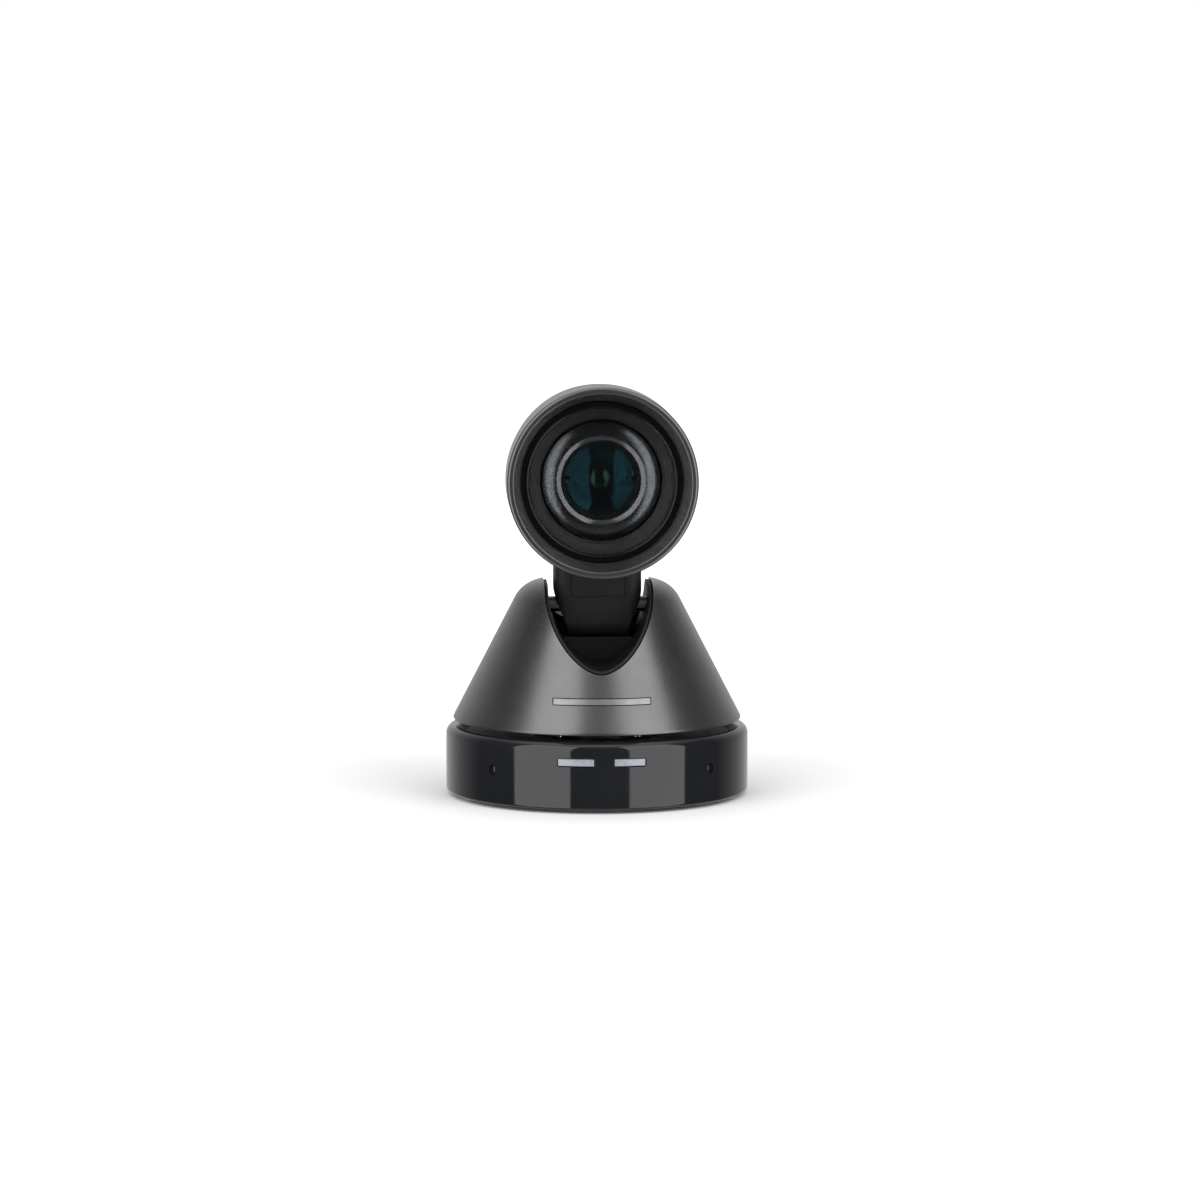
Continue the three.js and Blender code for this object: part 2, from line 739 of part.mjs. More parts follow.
// ---------------------------------------------------------------- tilting body: neck and drive
function tiltArm() {
  const top = headAxis - headRadius * 0.75;
  const plan = sweptZ(roundedRectangle(neckHalfWidth, neckHalfDepth, neckCorner), tiltAxis - 40, top);
  const waist = [
    [neckHalfWidth, top],
    [neckHalfWidth, tiltAxis + 6],
    ...neckWaist.map(([height, share]) => [neckHalfWidth * share, tiltAxis + height]),
  ];
  const front = [...waist, ...waist.slice().reverse().map(([x, z]) => [-x, z])];
  const above = block(-40, 40, -neckHalfDepth, neckHalfDepth, tiltAxis, top);
  const side = joined(above, rodX(hubSwingRadius, -40, 40, 0, tiltAxis, MIDDLE));
  const saddle = rodY(headRadius + gap, -100, 100, 0, headAxis, FINE);
  const shaftHole = rodX(tiltShaftRadius + gap, -40, 40, 0, tiltAxis);
  return cut(plan.intersect(sweptY(front, -40, 40)).intersect(side), saddle, shaftHole);
}

function tiltShaft() {
  const reach = bracketOuter + 0.5;
  return rodX(tiltShaftRadius, -reach, reach, 0, tiltAxis);
}

function tiltGear() {
  const pitchAngle = (2 * Math.PI) / tiltGearTeeth;
  const sideTeeth = Math.round((tiltGearHalfAngle * Math.PI) / 180 / pitchAngle);
  const firstAngle = -Math.PI / 2 - sideTeeth * pitchAngle;
  const rim = toothedOutline(tiltGearTeeth, firstAngle, 2 * sideTeeth + 1);
  const hub = 6;
  const sector = [...rim, [hub * 0.9, 0.4 * hub], [-hub * 0.9, 0.4 * hub]];
  const plate = sweptX(sector, tiltGearInner, tiltGearOuter);
  const boss = rodX(hub, tiltGearInner, tiltGearOuter, 0, 0, MIDDLE);
  const bore = rodX(tiltShaftRadius + gap, 0, bracketOuter, 0, 0);
  return cut(joined(plate, boss), bore).translate([0, 0, tiltAxis]);
}

// ---------------------------------------------------------------- head, about its own axis
// Here +Z points out of the lens, +Y is up and z = 0 is on the pan axis.
function headShell() {
  const lip = glassFront + gap;
  return turned([
    [headRadius - 2.9, -headSeam],
    [headRadius - 1.3, 4],
    [headRadius, drumWidest],
    [headRadius - 0.4, headFront - 2.4],
    [headRadius - 1, headFront - 0.7],
    [headRadius - 1.9, headFront],
    [headRadius - 2.6, headFront],
    [trimOuter + gap, lip + 3],
    [trimOuter + gap, lip],
    [shellInner(drumWidest), lip],
    [shellInner(drumWidest), drumWidest],
    [shellInner(-headSeam), -headSeam],
  ]);
}

function headRearCap() {
  const seam = -headSeam - gap;
  const edge = headRadius - 3;
  const depth = headBack - headSeam;
  const outer = [
    [edge, seam],
    [edge - 1.9, seam - 0.32 * depth],
    [edge - 6, seam - 0.64 * depth],
    [edge - 14, seam - 0.87 * depth],
    [edge - 24, seam - 0.97 * depth],
    [0, seam - depth + gap],
  ];
  const inner = [
    [0, seam - depth + gap + 2],
    [edge - 24.2, seam - 0.97 * depth + 2],
    [edge - 15.2, seam - 0.87 * depth + 1.8],
    [edge - 7.7, seam - 0.64 * depth + 1.2],
    [edge - 4, seam - 0.32 * depth + 0.5],
    [edge - 2.3, seam],
  ];
  return turned([...outer.reverse(), ...inner.reverse()]);
}

function frontTrimRing() {
  const back = glassFront + gap;
  return turned([
    [trimInner, back],
    [trimOuter, back],
    [trimOuter, back + 3.1],
    [trimInner + 0.6, back + 1.9],
    [trimInner, back + 1.5],
  ]);
}

function frontGlass() {
  return disc(glassRadius, glassBack, glassFront, FINE);
}

function lensBaffle() {
  const front = glassBack - gap;
  return turned([
    [trimInner - 0.2, front],
    [glassRadius, front],
    [glassRadius, front - 2],
    [glassRadius - 3, front - 2],
    [barrelRadius + 2, front - 8.4],
    [barrelRadius + 0.6, front - 8.4],
  ]);
}

function lensBarrel() {
  const seat = frontLensRadius + gap;
  const seatBack = barrelFront - frontLensSeat;
  return turned(
    [
      [barrelRadius, barrelBack],
      [barrelRadius, barrelFront - barrelNose],
      [barrelRadius - 0.3 * barrelNose, barrelFront - 0.4 * barrelNose],
      [barrelRadius - 0.85 * barrelNose, barrelFront - 0.1 * barrelNose],
      [barrelRadius - 1.5 * barrelNose, barrelFront],
      [seat, barrelFront - 0.25 * barrelNose],
      [seat, seatBack],
      [barrelBore, seatBack],
      [barrelBore, barrelBack + 2],
      [9, barrelBack + 2],
      [9, barrelBack],
    ],
    MIDDLE,
  );
}

function frontElement() {
  const back = barrelFront - frontLensSeat + gap;
  const edge = back + 1.5;
  const curve = (frontLensRadius ** 2 + frontLensRise ** 2) / (2 * frontLensRise);
  const dome = [];
  for (let step = 0; step <= 5; step += 1) {
    const radius = frontLensRadius * (1 - step / 5);
    dome.push([radius, edge + frontLensRise - curve + Math.sqrt(curve ** 2 - radius ** 2)]);
  }
  return turned([[0, back], [frontLensRadius, back], ...dome], MIDDLE);
}

// A lens in its holder, which slides on the two guide rods.
function lensGroup(front, thickness, lensRadius) {
  const back = front - thickness;
  const holder = disc(barrelBore - gap, back, front, MIDDLE);
  const dish = disc(lensRadius, front - 1, front + 1, COARSE);
  const rods = [-1, 1].map((side) =>
    disc(guideRodRadius + gap, back - 1, front + 1, COARSE, side * guideRodCircle, 0),
  );
  return cut(holder, dish, ...rods);
}

function guideRod(side) {
  const front = barrelFront - frontLensSeat - gap;
  return disc(guideRodRadius, barrelBack + 2 + gap, front, COARSE, side * guideRodCircle, 0);
}

function zoomBlockCase() {
  const front = barrelBack - gap;
  const body = block(-blockHalf, blockHalf, -blockHalf, blockHalf, -blockBack, front);
  const inside = blockHalf - blockWall;
  const hollow = block(-inside, inside, -inside, inside, -blockBack + blockWall, front - blockWall);
  const mouth = disc(9, front - 3, front + 1, COARSE);
  return cut(body, hollow, mouth);
}

function squareBoard(half, front) {
  return block(-half, half, -half, half, front - boardThickness, front);
}

function headChassis() {
  const top = -barrelRadius - gap;
  const bottom = top - chassisThickness;
  const half = Math.sqrt((shellInner(-blockBack) - chassisEdgeGap) ** 2 - bottom ** 2);
  const plate = block(-half, half, bottom, top, -blockBack, barrelBack + 20);
  const pad = block(-half, half, top - 0.5, -blockHalf - gap, -blockBack, barrelBack - 1);
  return joined(plate, pad);
}

// ---------------------------------------------------------------- assembly
const base = new THREE.Group();
base.add(
  piece("base_ring", baseRing(), bandGloss),
  piece("base_plate", basePlate(), mattBlack),
  piece("tripod_bush", tripodBush(), brass),
  piece("main_board", mainBoard(), circuitGreen),
  piece("io_panel", ioPanel(), mattBlack),
  piece("pan_spindle", panSpindle(), aluminium),
  piece("pan_gear", panGear(), acetal),
);
[45, 135, 225, 315].forEach((angle, index) => {
  const foot = piece(`rubber_foot_${index + 1}`, disc(footRadius, 0, footHeight, MIDDLE), rubber);
  const turn = (angle * Math.PI) / 180;
  foot.position.set(footCircle * Math.cos(turn), footCircle * Math.sin(turn), 0);
  base.add(foot);
});
bossPlaces.forEach((place, index) => {
  base.add(piece(`base_screw_${index + 1}`, baseScrew(place), steel));
});
for (const connector of placedConnectors()) {
  base.add(piece(connector.name, connectorShell(connector), portMetal));
}
for (const [name, side] of [["left", -1], ["right", 1]]) {
  const tile = statusTile(statusWidths[name], statusHeight, side, ringInner + 0.2, baseRadius - 0.1);
  base.add(piece(`status_light_${name}`, tile, lightWindow));
}
for (const [name, turn] of [["left", -infraredAngle], ["right", infraredAngle]]) {
  const pin = frontPin(infraredRadius, ringInner + 0.2, baseRadius - 0.1, turn);
  base.add(piece(`ir_window_${name}`, pin, clearGlass));
}

const pan = new THREE.Group();
pan.add(
  piece("pan_housing", panHousing(), housingGrey),
  piece("slot_liner", slotLiner(), mattBlack),
  piece("name_bar", nameStrip(nameBarWidth / 2, nameBarHeight / 2, 0.1, nameBarThickness), aluminium),
  piece("pan_platform", panPlatform(), aluminium),
  piece("pan_bush", panBush(), brass),
  piece("pan_retainer", panRetainer(), steel),
  piece("tilt_bracket_left", tiltBracket(-1), steel),
  piece("tilt_bracket_right", tiltBracket(1), steel),
  piece("tilt_bush_left", tiltBush(-1), brass),
  piece("tilt_bush_right", tiltBush(1), brass),
  piece("pan_motor", panMotor(), motorBlack),
  piece("pan_pinion", panPinion(), brass),
  piece("tilt_motor", tiltMotor(), motorBlack),
  piece("tilt_pinion", tiltPinion(), brass),
);

const head = new THREE.Group();
head.rotation.x = Math.PI / 2;
head.position.z = headAxis;
head.add(
  piece("head_shell", headShell(), housingGrey),
  piece("head_rear_cap", headRearCap(), housingGrey),
  piece("front_trim_ring", frontTrimRing(), mattBlack),
  piece("front_glass", frontGlass(), clearGlass),
  piece("lens_baffle", lensBaffle(), mattBlack),
  piece("lens_barrel", lensBarrel(), motorBlack),
  piece("front_element", frontElement(), coatedGlass),
  piece("zoom_lens_group", lensGroup(zoomGroupFront, zoomGroupThickness, barrelBore - 4.5), motorBlack),
  piece("focus_lens_group", lensGroup(focusGroupFront, focusGroupThickness, barrelBore - 7.5), motorBlack),
  piece("guide_rod_left", guideRod(-1), steel),
  piece("guide_rod_right", guideRod(1), steel),
  piece("zoom_block_case", zoomBlockCase(), motorBlack),
  piece("sensor_board", squareBoard(blockHalf - 1, -blockBack - 0.5), circuitGreen),
  piece("processor_board", squareBoard(blockHalf - 4, -blockBack - 6), circuitGreen),
  piece("head_chassis", headChassis(), aluminium),
);

const tilting = new THREE.Group();
tilting.add(
  piece("tilt_arm", tiltArm(), mattBlack),
  piece("tilt_shaft", tiltShaft(), steel),
  piece("tilt_gear", tiltGear(), acetal),
  head,
);

const camera = new THREE.Group();
camera.add(base, pan, tilting);

export default camera;
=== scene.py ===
"""A compact pan-tilt-zoom camera, dressed for rendering: smooth shells, a layered lens, sockets and feet."""
import json
import math

import bpy
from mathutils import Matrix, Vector


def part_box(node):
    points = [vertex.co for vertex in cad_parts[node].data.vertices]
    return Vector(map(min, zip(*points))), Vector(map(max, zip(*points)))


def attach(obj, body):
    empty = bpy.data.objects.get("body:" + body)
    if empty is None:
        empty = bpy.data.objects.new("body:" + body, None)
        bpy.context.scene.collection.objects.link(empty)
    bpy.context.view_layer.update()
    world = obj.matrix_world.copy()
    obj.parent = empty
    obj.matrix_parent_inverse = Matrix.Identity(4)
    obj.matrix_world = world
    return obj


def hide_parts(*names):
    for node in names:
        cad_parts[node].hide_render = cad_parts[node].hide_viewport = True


bl_info = {
    "name": "Pan-tilt-zoom camera",
    "version": (1, 0, 0),
    "blender": (4, 5, 0),
    "location": "3D View > Sidebar > PTZ camera",
    "description": "Models the outside of a pan-tilt-zoom camera round its packed frame",
    "category": "Object",
}

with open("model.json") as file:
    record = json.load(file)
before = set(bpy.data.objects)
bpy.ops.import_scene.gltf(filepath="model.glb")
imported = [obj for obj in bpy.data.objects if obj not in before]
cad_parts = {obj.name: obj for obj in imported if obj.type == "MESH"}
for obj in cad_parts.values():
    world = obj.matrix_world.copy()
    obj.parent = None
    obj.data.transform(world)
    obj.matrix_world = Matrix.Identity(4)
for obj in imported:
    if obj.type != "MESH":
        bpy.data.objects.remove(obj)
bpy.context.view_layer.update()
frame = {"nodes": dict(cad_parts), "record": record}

MM = 0.001
POLE = 0.001  # radius in millimetres of a ring that is merged into a pole
MERGE = 0.004  # millimetres
FINE = 128  # sides of a large turned shell
SMALL = 48  # sides of a small turned piece
SMOOTH = 192  # sides of the shells that are seen closest
BEYOND = 40  # how far a cutter reaches either way


def extent(node):
    """The lowest and highest corners of a frame node, in millimetres."""
    low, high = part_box(node)
    return low / MM, high / MM


def centre(node):
    """The middle of a frame node's box, in millimetres."""
    low, high = extent(node)
    return (low + high) / 2


# ------------------------------------------------------------------ sizes read from the frame, mm
RING_LOW, RING_HIGH = extent("base_ring")
PLATE_LOW, PLATE_HIGH = extent("base_plate")
PANEL_LOW, PANEL_HIGH = extent("io_panel")
CONE_LOW, CONE_HIGH = extent("pan_housing")
ARM_LOW, ARM_HIGH = extent("tilt_arm")
HEAD_LOW, HEAD_HIGH = extent("head_shell")
CAP_LOW, CAP_HIGH = extent("head_rear_cap")
SHAFT_LOW, SHAFT_HIGH = extent("tilt_shaft")

RING_RADIUS = RING_HIGH.x
CONE_FOOT_RADIUS = CONE_HIGH.x
CROWN = CONE_HIGH.z
TILT_AXIS = (SHAFT_LOW.z + SHAFT_HIGH.z) / 2
HEAD_RADIUS = HEAD_HIGH.x
HEAD_AXIS = (HEAD_LOW.z + HEAD_HIGH.z) / 2


# ------------------------------------------------------------------ sizes and colours to change
def length(name, description, millimetres):
    """A length property, whose default is given in millimetres."""
    return bpy.props.FloatProperty(
        name=name,
        description=description,
        default=millimetres * MM,
        min=0,
        subtype="DISTANCE",
        unit="LENGTH",
    )


def colour(name, description, *values):
    """A colour property with a linear default."""
    return bpy.props.FloatVectorProperty(
        name=name,
        description=description,
        default=values,
        size=3,
        min=0,
        max=1,
        subtype="COLOR",
    )


class BaseSizes(bpy.types.PropertyGroup):
    """Sizes of the base and what shows in its wall"""

    wall: length("Ring wall", "Thickness of the ring's upright wall", 2.4)
    lip: length("Ring lip", "Thickness of the flange at the ring's top", 2.2)
    lip_hole: length("Lip hole radius", "Opening in the ring's top that the pan drive stands in", 42.9)
    foot_fillet: length("Lower edge rounding", "Fillet of the ring's lower outer edge", 1.5)
    brow_fillet: length("Upper edge rounding", "Fillet of the ring's upper outer edge", 3.4)


class HousingSizes(bpy.types.PropertyGroup):
    """Sizes of the cone that turns on the base, and of its slot"""

    wall: length("Wall", "Thickness of the cone's shell", 2.1)
    shoulder: length("Shoulder rounding", "Fillet between the cone's side and its crown", 13)
    slot_half: length("Slot half width", "Half the width of the slot at the crown", 20.9)
    slot_shoulder: length("Slot shoulder", "How far the slot's sides run straight down", 5)
    slot_front: length("Slot depth in front", "From the crown to the slot's bottom in front", 33.7)
    slot_back: length("Slot depth behind", "From the crown to the slot's bottom behind", 20)
    liner_inset: length("Liner gap", "Gap between the slot's edge and its liner", 0.35)
    liner_wall: length("Liner wall", "Thickness of the slot's liner", 1.0)
    rim: length("Slot rim rounding", "Fillet of the slot's edge", 0.45)


class HeadSizes(bpy.types.PropertyGroup):
    """Sizes of the drum and of the lens in it"""

    lip_fillet: length("Front rim rounding", "Fillet of the drum's front edge", 2.2)
    glass_radius: length("Window radius", "Radius of the flat window", 32)
    trim_outer: length("Trim ring outer radius", "Outer radius of the ring round the window", 30.3)
    trim_inner: length("Trim ring inner radius", "Inner radius of the ring round the window", 27.6)
    barrel: length("Barrel radius", "Outer radius of the lens barrel", 22.6)
    front_lens: length("Front lens radius", "Radius of the first lens", 14.8)


class Finishes(bpy.types.PropertyGroup):
    """Colours of the camera's main finishes"""

    gunmetal: colour("Gunmetal", "Metallic paint of the cone and the drum", 0.152, 0.152, 0.153)
    gloss: colour("Gloss black", "Polished plastic of the base ring", 0.009, 0.0095, 0.011)
    matt: colour("Matt black", "Textured plastic of the neck and the liner", 0.008, 0.008, 0.0085)
    coating: colour("Lens coating", "Tint of the light that the coated lens throws back", 0.03, 0.2, 0.28)


# ------------------------------------------------------------------ modelling tools
def deselect():
    """Leaves edit mode and deselects everything."""
    if bpy.context.object is not None and bpy.context.object.mode != "OBJECT":
        bpy.ops.object.mode_set(mode="OBJECT")
    bpy.ops.object.select_all(action="DESELECT")


def select_only(*pieces):
    deselect()
    for piece in pieces:
        piece.select_set(True)
    bpy.context.view_layer.objects.active = pieces[0]


def settle(piece):
    """Moves a piece's place, turn and scale into its mesh."""
    select_only(piece)
    bpy.ops.object.transform_apply(location=True, rotation=True, scale=True)
    return piece


def close_up():
    """In edit mode: merges doubled corners and turns all faces outwards."""
    bpy.ops.mesh.select_all(action="SELECT")
    bpy.ops.mesh.remove_doubles(threshold=MERGE * MM)
    bpy.ops.mesh.normals_make_consistent(inside=False)
    bpy.ops.object.mode_set(mode="OBJECT")


def rounded(corners, closed=True, steps=5):
    """The points of an outline whose corners, (across, along, fillet), are rounded by arcs."""
    points = []
    last = len(corners) - 1
    for index, (across, along, fillet) in enumerate(corners):
        here = Vector((across, along))
        if fillet == 0 or (not closed and index in (0, last)):
            points.append((across, along))
            continue
        before = Vector(corners[index - 1][:2]) - here
        after = Vector(corners[(index + 1) % len(corners)][:2]) - here
        half = before.angle(after) / 2
        reach = min(fillet / math.tan(half), 0.49 * before.length, 0.49 * after.length)
        middle = (before.normalized() + after.normalized()).normalized()
        centre = here + middle * reach / math.cos(half)
        first = here + before.normalized() * reach - centre
        final = here + after.normalized() * reach - centre
        start = math.atan2(first.y, first.x)
        turn = (math.atan2(final.y, final.x) - start + math.pi) % math.tau - math.pi
        for step in range(steps + 1):
            angle = start + turn * step / steps
            points.append(
                (centre.x + first.length * math.cos(angle), centre.y + first.length * math.sin(angle))
            )
    return points


def turned(name, profile, sides=FINE, closed=True):
    """A ring extruded along a profile of (radius, height) points. A closed profile makes a hollow ring."""
    deselect()
    radius, height = profile[0]
    radius = max(radius, POLE)
    bpy.ops.mesh.primitive_circle_add(
        vertices=sides, radius=radius * MM, location=(0, 0, height * MM), enter_editmode=True
    )
    piece = bpy.context.object
    piece.name = name
    rest = profile[1:] + profile[:1] if closed else profile[1:]
    for next_radius, next_height in rest:
        next_radius = max(next_radius, POLE)
        rise = (next_height - height) * MM
        bpy.ops.mesh.extrude_region_move(TRANSFORM_OT_translate={"value": (0, 0, rise)})
        growth = next_radius / radius
        bpy.ops.transform.resize(value=(growth, growth, 1), center_override=(0, 0, next_height * MM))
        radius, height = next_radius, next_height
    close_up()
    return settle(piece)


def swept(name, points, way):
    """An outline of corners in space, drawn by extruding a corner, filled and extruded along a way."""
    deselect()
    corners = [Vector(point) * MM for point in points]
    bpy.ops.mesh.primitive_plane_add(size=MM, location=corners[0], enter_editmode=True)
    piece = bpy.context.object
    piece.name = name
    bpy.ops.mesh.merge(type="CENTER")
    for here, there in zip(corners, corners[1:]):
        bpy.ops.mesh.extrude_region_move(TRANSFORM_OT_translate={"value": there - here})
    bpy.ops.mesh.select_all(action="SELECT")
    bpy.ops.mesh.edge_face_add()
    bpy.ops.mesh.extrude_region_move(TRANSFORM_OT_translate={"value": Vector(way) * MM})
    close_up()
    return settle(piece)


def slab(name, low, high, fillet=0, steps=3):
    """A box between two corners, with all its edges bevelled."""
    deselect()
    low, high = Vector(low), Vector(high)
    bpy.ops.mesh.primitive_cube_add(
        size=1, location=(low + high) / 2 * MM, scale=(high - low) * MM, enter_editmode=False
    )
    piece = settle(bpy.context.object)
    piece.name = name
    if fillet:
        bpy.ops.object.mode_set(mode="EDIT")
        bpy.ops.mesh.select_all(action="SELECT")
        bpy.ops.mesh.bevel(offset=fillet * MM, segments=steps, affect="EDGES", clamp_overlap=True)
        bpy.ops.object.mode_set(mode="OBJECT")
    return piece


def rod(name, radius, start, end, sides=SMALL, fillet=0):
    """A round bar from one point to another, with its end edges bevelled."""
    deselect()
    start, end = Vector(start), Vector(end)
    run = end - start
    bpy.ops.mesh.primitive_cylinder_add(
        vertices=sides,
        radius=radius * MM,
        depth=run.length * MM,
        location=(start + end) / 2 * MM,
        rotation=run.to_track_quat("Z", "Y").to_euler(),
    )
    piece = settle(bpy.context.object)
    piece.name = name
    if fillet:
        soften(piece, fillet, angle=60)
    return piece


def apply_modifier(piece, kind, **settings):
    select_only(piece)
    bpy.ops.object.modifier_add(type=kind)
    modifier = piece.modifiers[-1]
    for key, value in settings.items():
        setattr(modifier, key, value)
    bpy.ops.object.modifier_apply(modifier=modifier.name)


def combine(piece, others, operation):
    for other in others:
        apply_modifier(piece, "BOOLEAN", object=other, operation=operation, solver="EXACT")
        bpy.data.objects.remove(other, do_unlink=True)
    return piece


def cut(piece, *others):
    return combine(piece, others, "DIFFERENCE")


def keep(piece, *others):
    return combine(piece, others, "INTERSECT")


def fuse(piece, *others):
    return combine(piece, others, "UNION")


def soften(piece, width, steps=3, angle=35):
    """Bevels the edges that are sharper than an angle."""
    apply_modifier(
        piece,
        "BEVEL",
        width=width * MM,
        segments=steps,
        limit_method="ANGLE",
        angle_limit=math.radians(angle),
        use_clamp_overlap=True,
    )
    return piece


def tidy(piece, distance=0.02):
    """Merges the slivers that a cut leaves."""
    select_only(piece)
    bpy.ops.object.mode_set(mode="EDIT")
    bpy.ops.mesh.select_all(action="SELECT")
    bpy.ops.mesh.remove_doubles(threshold=distance * MM)
    bpy.ops.mesh.dissolve_degenerate(threshold=distance * MM / 2)
    bpy.ops.object.mode_set(mode="OBJECT")
    return piece


def paint(piece, look):
    piece.data.materials.clear()
    piece.data.materials.append(MATERIALS[look])
    return piece


def join(*pieces):
    """Makes one object of several, each with its own finish."""
    select_only(*pieces)
    bpy.ops.object.join()
    return pieces[0]


def copy_at(piece, name, shift):
    """A copy with its own mesh, moved by a shift in millimetres."""
    select_only(piece)
    bpy.ops.object.duplicate(linked=False)
    twin = bpy.context.object
    twin.name = name
    bpy.ops.transform.translate(value=Vector(shift) * MM)
    return settle(twin)


def on_head(piece):
    """Turns a piece made about Z so that it lies along the drum's axis, with +Z forward."""
    piece.rotation_euler = (math.pi / 2, 0, 0)
    piece.location = (0, 0, HEAD_AXIS * MM)
    return settle(piece)


def hand_over(piece, body, node, angle=32):
    """Smooths a finished piece, sets the body it rides on and hides the frame node it stands for."""
    settle(piece)
    bpy.ops.object.shade_smooth_by_angle(angle=math.radians(angle))
    apply_modifier(piece, "WEIGHTED_NORMAL", keep_sharp=True)
    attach(piece, body)
    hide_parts(node)


def dress(piece, body, node, look, angle=32):
    """Paints a finished piece and hands it over, in the slot named as its look or in another."""
    hand_over(paint(piece, look), body, node, angle)


# ------------------------------------------------------------------ shader groups
def group(name, inputs, outputs):
    """A new shader node group with its input and output nodes."""
    tree = bpy.data.node_groups.new(name, "ShaderNodeTree")
    for label, kind, default in inputs:
        tree.interface.new_socket(name=label, in_out="INPUT", socket_type=kind).default_value = default
    for label, kind in outputs:
        tree.interface.new_socket(name=label, in_out="OUTPUT", socket_type=kind)
    return tree, tree.nodes.new("NodeGroupInput"), tree.nodes.new("NodeGroupOutput")


def wire(tree, kind, inputs=None, **settings):
    """A new node, whose inputs are set to values or joined to the sockets given."""
    node = tree.nodes.new(kind)
    for key, value in settings.items():
        setattr(node, key, value)
    for label, value in (inputs or {}).items():
        if isinstance(value, bpy.types.NodeSocket):
            tree.links.new(value, node.inputs[label])
        else:
            node.inputs[label].default_value = value
    return node


def noise(tree, scale, detail=3.0, roughness=0.5):
    """A noise texture over Object coordinates, in which a scale of 1000 has features of about 1 mm."""
    given = {"Vector": object_place(tree), "Scale": scale, "Detail": detail, "Roughness": roughness}
    return wire(tree, "ShaderNodeTexNoise", given).outputs["Fac"]


def spread(tree, value, low, high, to_low=0.0, to_high=1.0):
    """A value mapped from one range to another."""
    given = {"Value": value, "From Min": low, "From Max": high, "To Min": to_low, "To Max": to_high}
    return wire(tree, "ShaderNodeMapRange", given).outputs["Result"]


def object_place(tree):
    return wire(tree, "ShaderNodeTexCoord").outputs["Object"]


def mixed(tree, mask, first, second):
    """A value between two others."""
    return wire(tree, "ShaderNodeMix", {0: mask, 2: first, 3: second}, data_type="FLOAT").outputs[0]


def mixed_colour(tree, mask, first, second):
    """A colour between two others."""
    return wire(tree, "ShaderNodeMix", {0: mask, 6: first, 7: second}, data_type="RGBA").outputs[2]


def maths(tree, operation, first, second=0.0):
    return wire(tree, "ShaderNodeMath", {0: first, 1: second}, operation=operation).outputs["Value"]


FLOAT = "NodeSocketFloat"
COLOUR = "NodeSocketColor"
VECTOR = "NodeSocketVector"


def grain_group():
    """Fine grain of moulded plastic or of paint: a height to bump by."""
    tree, given, made = group("Fine grain", [("Scale", FLOAT, 4000.0)], [("Height", FLOAT)])
    fine = noise(tree, given.outputs["Scale"], detail=2.0, roughness=0.6)
    broad = noise(tree, 160.0, detail=2.0)
    wave = maths(tree, "MULTIPLY", broad, 0.8)
    tree.links.new(maths(tree, "ADD", fine, wave), made.inputs["Height"])
    return tree


def handling_group():
    """Roughness that varies with polish, fingerprints and fine dust."""
    tree, given, made = group(
        "Handling marks",
        [("Clean", FLOAT, 0.3), ("Marked", FLOAT, 0.45), ("Scale", FLOAT, 60.0)],
        [("Roughness", FLOAT)],
    )
    cloud = noise(tree, given.outputs["Scale"], detail=5.0, roughness=0.62)
    mask = spread(tree, cloud, 0.42, 0.72)
    rough = mixed(tree, mask, given.outputs["Clean"], given.outputs["Marked"])
    tree.links.new(rough, made.inputs["Roughness"])
    return tree


def drift_group():
    """A colour that drifts a little towards another over the surface."""
    tree, given, made = group(
        "Colour drift",
        [
            ("Colour", COLOUR, (0.5, 0.5, 0.5, 1)),
            ("Other", COLOUR, (0.4, 0.4, 0.4, 1)),
            ("Scale", FLOAT, 90.0),
        ],
        [("Colour", COLOUR)],
    )
    cloud = noise(tree, given.outputs["Scale"], detail=4.0)
    mask = spread(tree, cloud, 0.35, 0.7)
    shade = mixed_colour(tree, mask, given.outputs["Colour"], given.outputs["Other"])
    tree.links.new(shade, made.inputs["Colour"])
    return tree


def flake_group():
    """Specks of metallic flake: a mask that lights a few small cells."""
    tree, given, made = group("Metal flake", [("Scale", FLOAT, 5000.0)], [("Mask", FLOAT)])
    place = object_place(tree)
    cells = wire(tree, "ShaderNodeTexVoronoi", {"Vector": place, "Scale": given.outputs["Scale"]})
    shade = wire(tree, "ShaderNodeSeparateColor", {"Color": cells.outputs["Color"]})
    tree.links.new(shade.outputs["Red"], made.inputs["Mask"])
    return tree


def lathe_group():
    """Rings that a turning tool leaves round an axis: a height to bump by."""
    tree, given, made = group(
        "Lathe rings",
        [("Centre", VECTOR, (0, 0, 0)), ("Across", VECTOR, (1, 1, 0)), ("Spacing", FLOAT, 0.0002)],
        [("Height", FLOAT)],
    )
    place = object_place(tree)
    from_axis = wire(
        tree, "ShaderNodeVectorMath", {0: place, 1: given.outputs["Centre"]}, operation="SUBTRACT"
    ).outputs["Vector"]
    flat = wire(
        tree, "ShaderNodeVectorMath", {0: from_axis, 1: given.outputs["Across"]}, operation="MULTIPLY"
    ).outputs["Vector"]
    radius = wire(tree, "ShaderNodeVectorMath", {0: flat}, operation="LENGTH").outputs["Value"]
    turns = maths(tree, "DIVIDE", radius, given.outputs["Spacing"])
    wave = maths(tree, "SINE", maths(tree, "MULTIPLY", turns, math.tau))
    tree.links.new(maths(tree, "MULTIPLY", wave, noise(tree, 700.0)), made.inputs["Height"])
    return tree


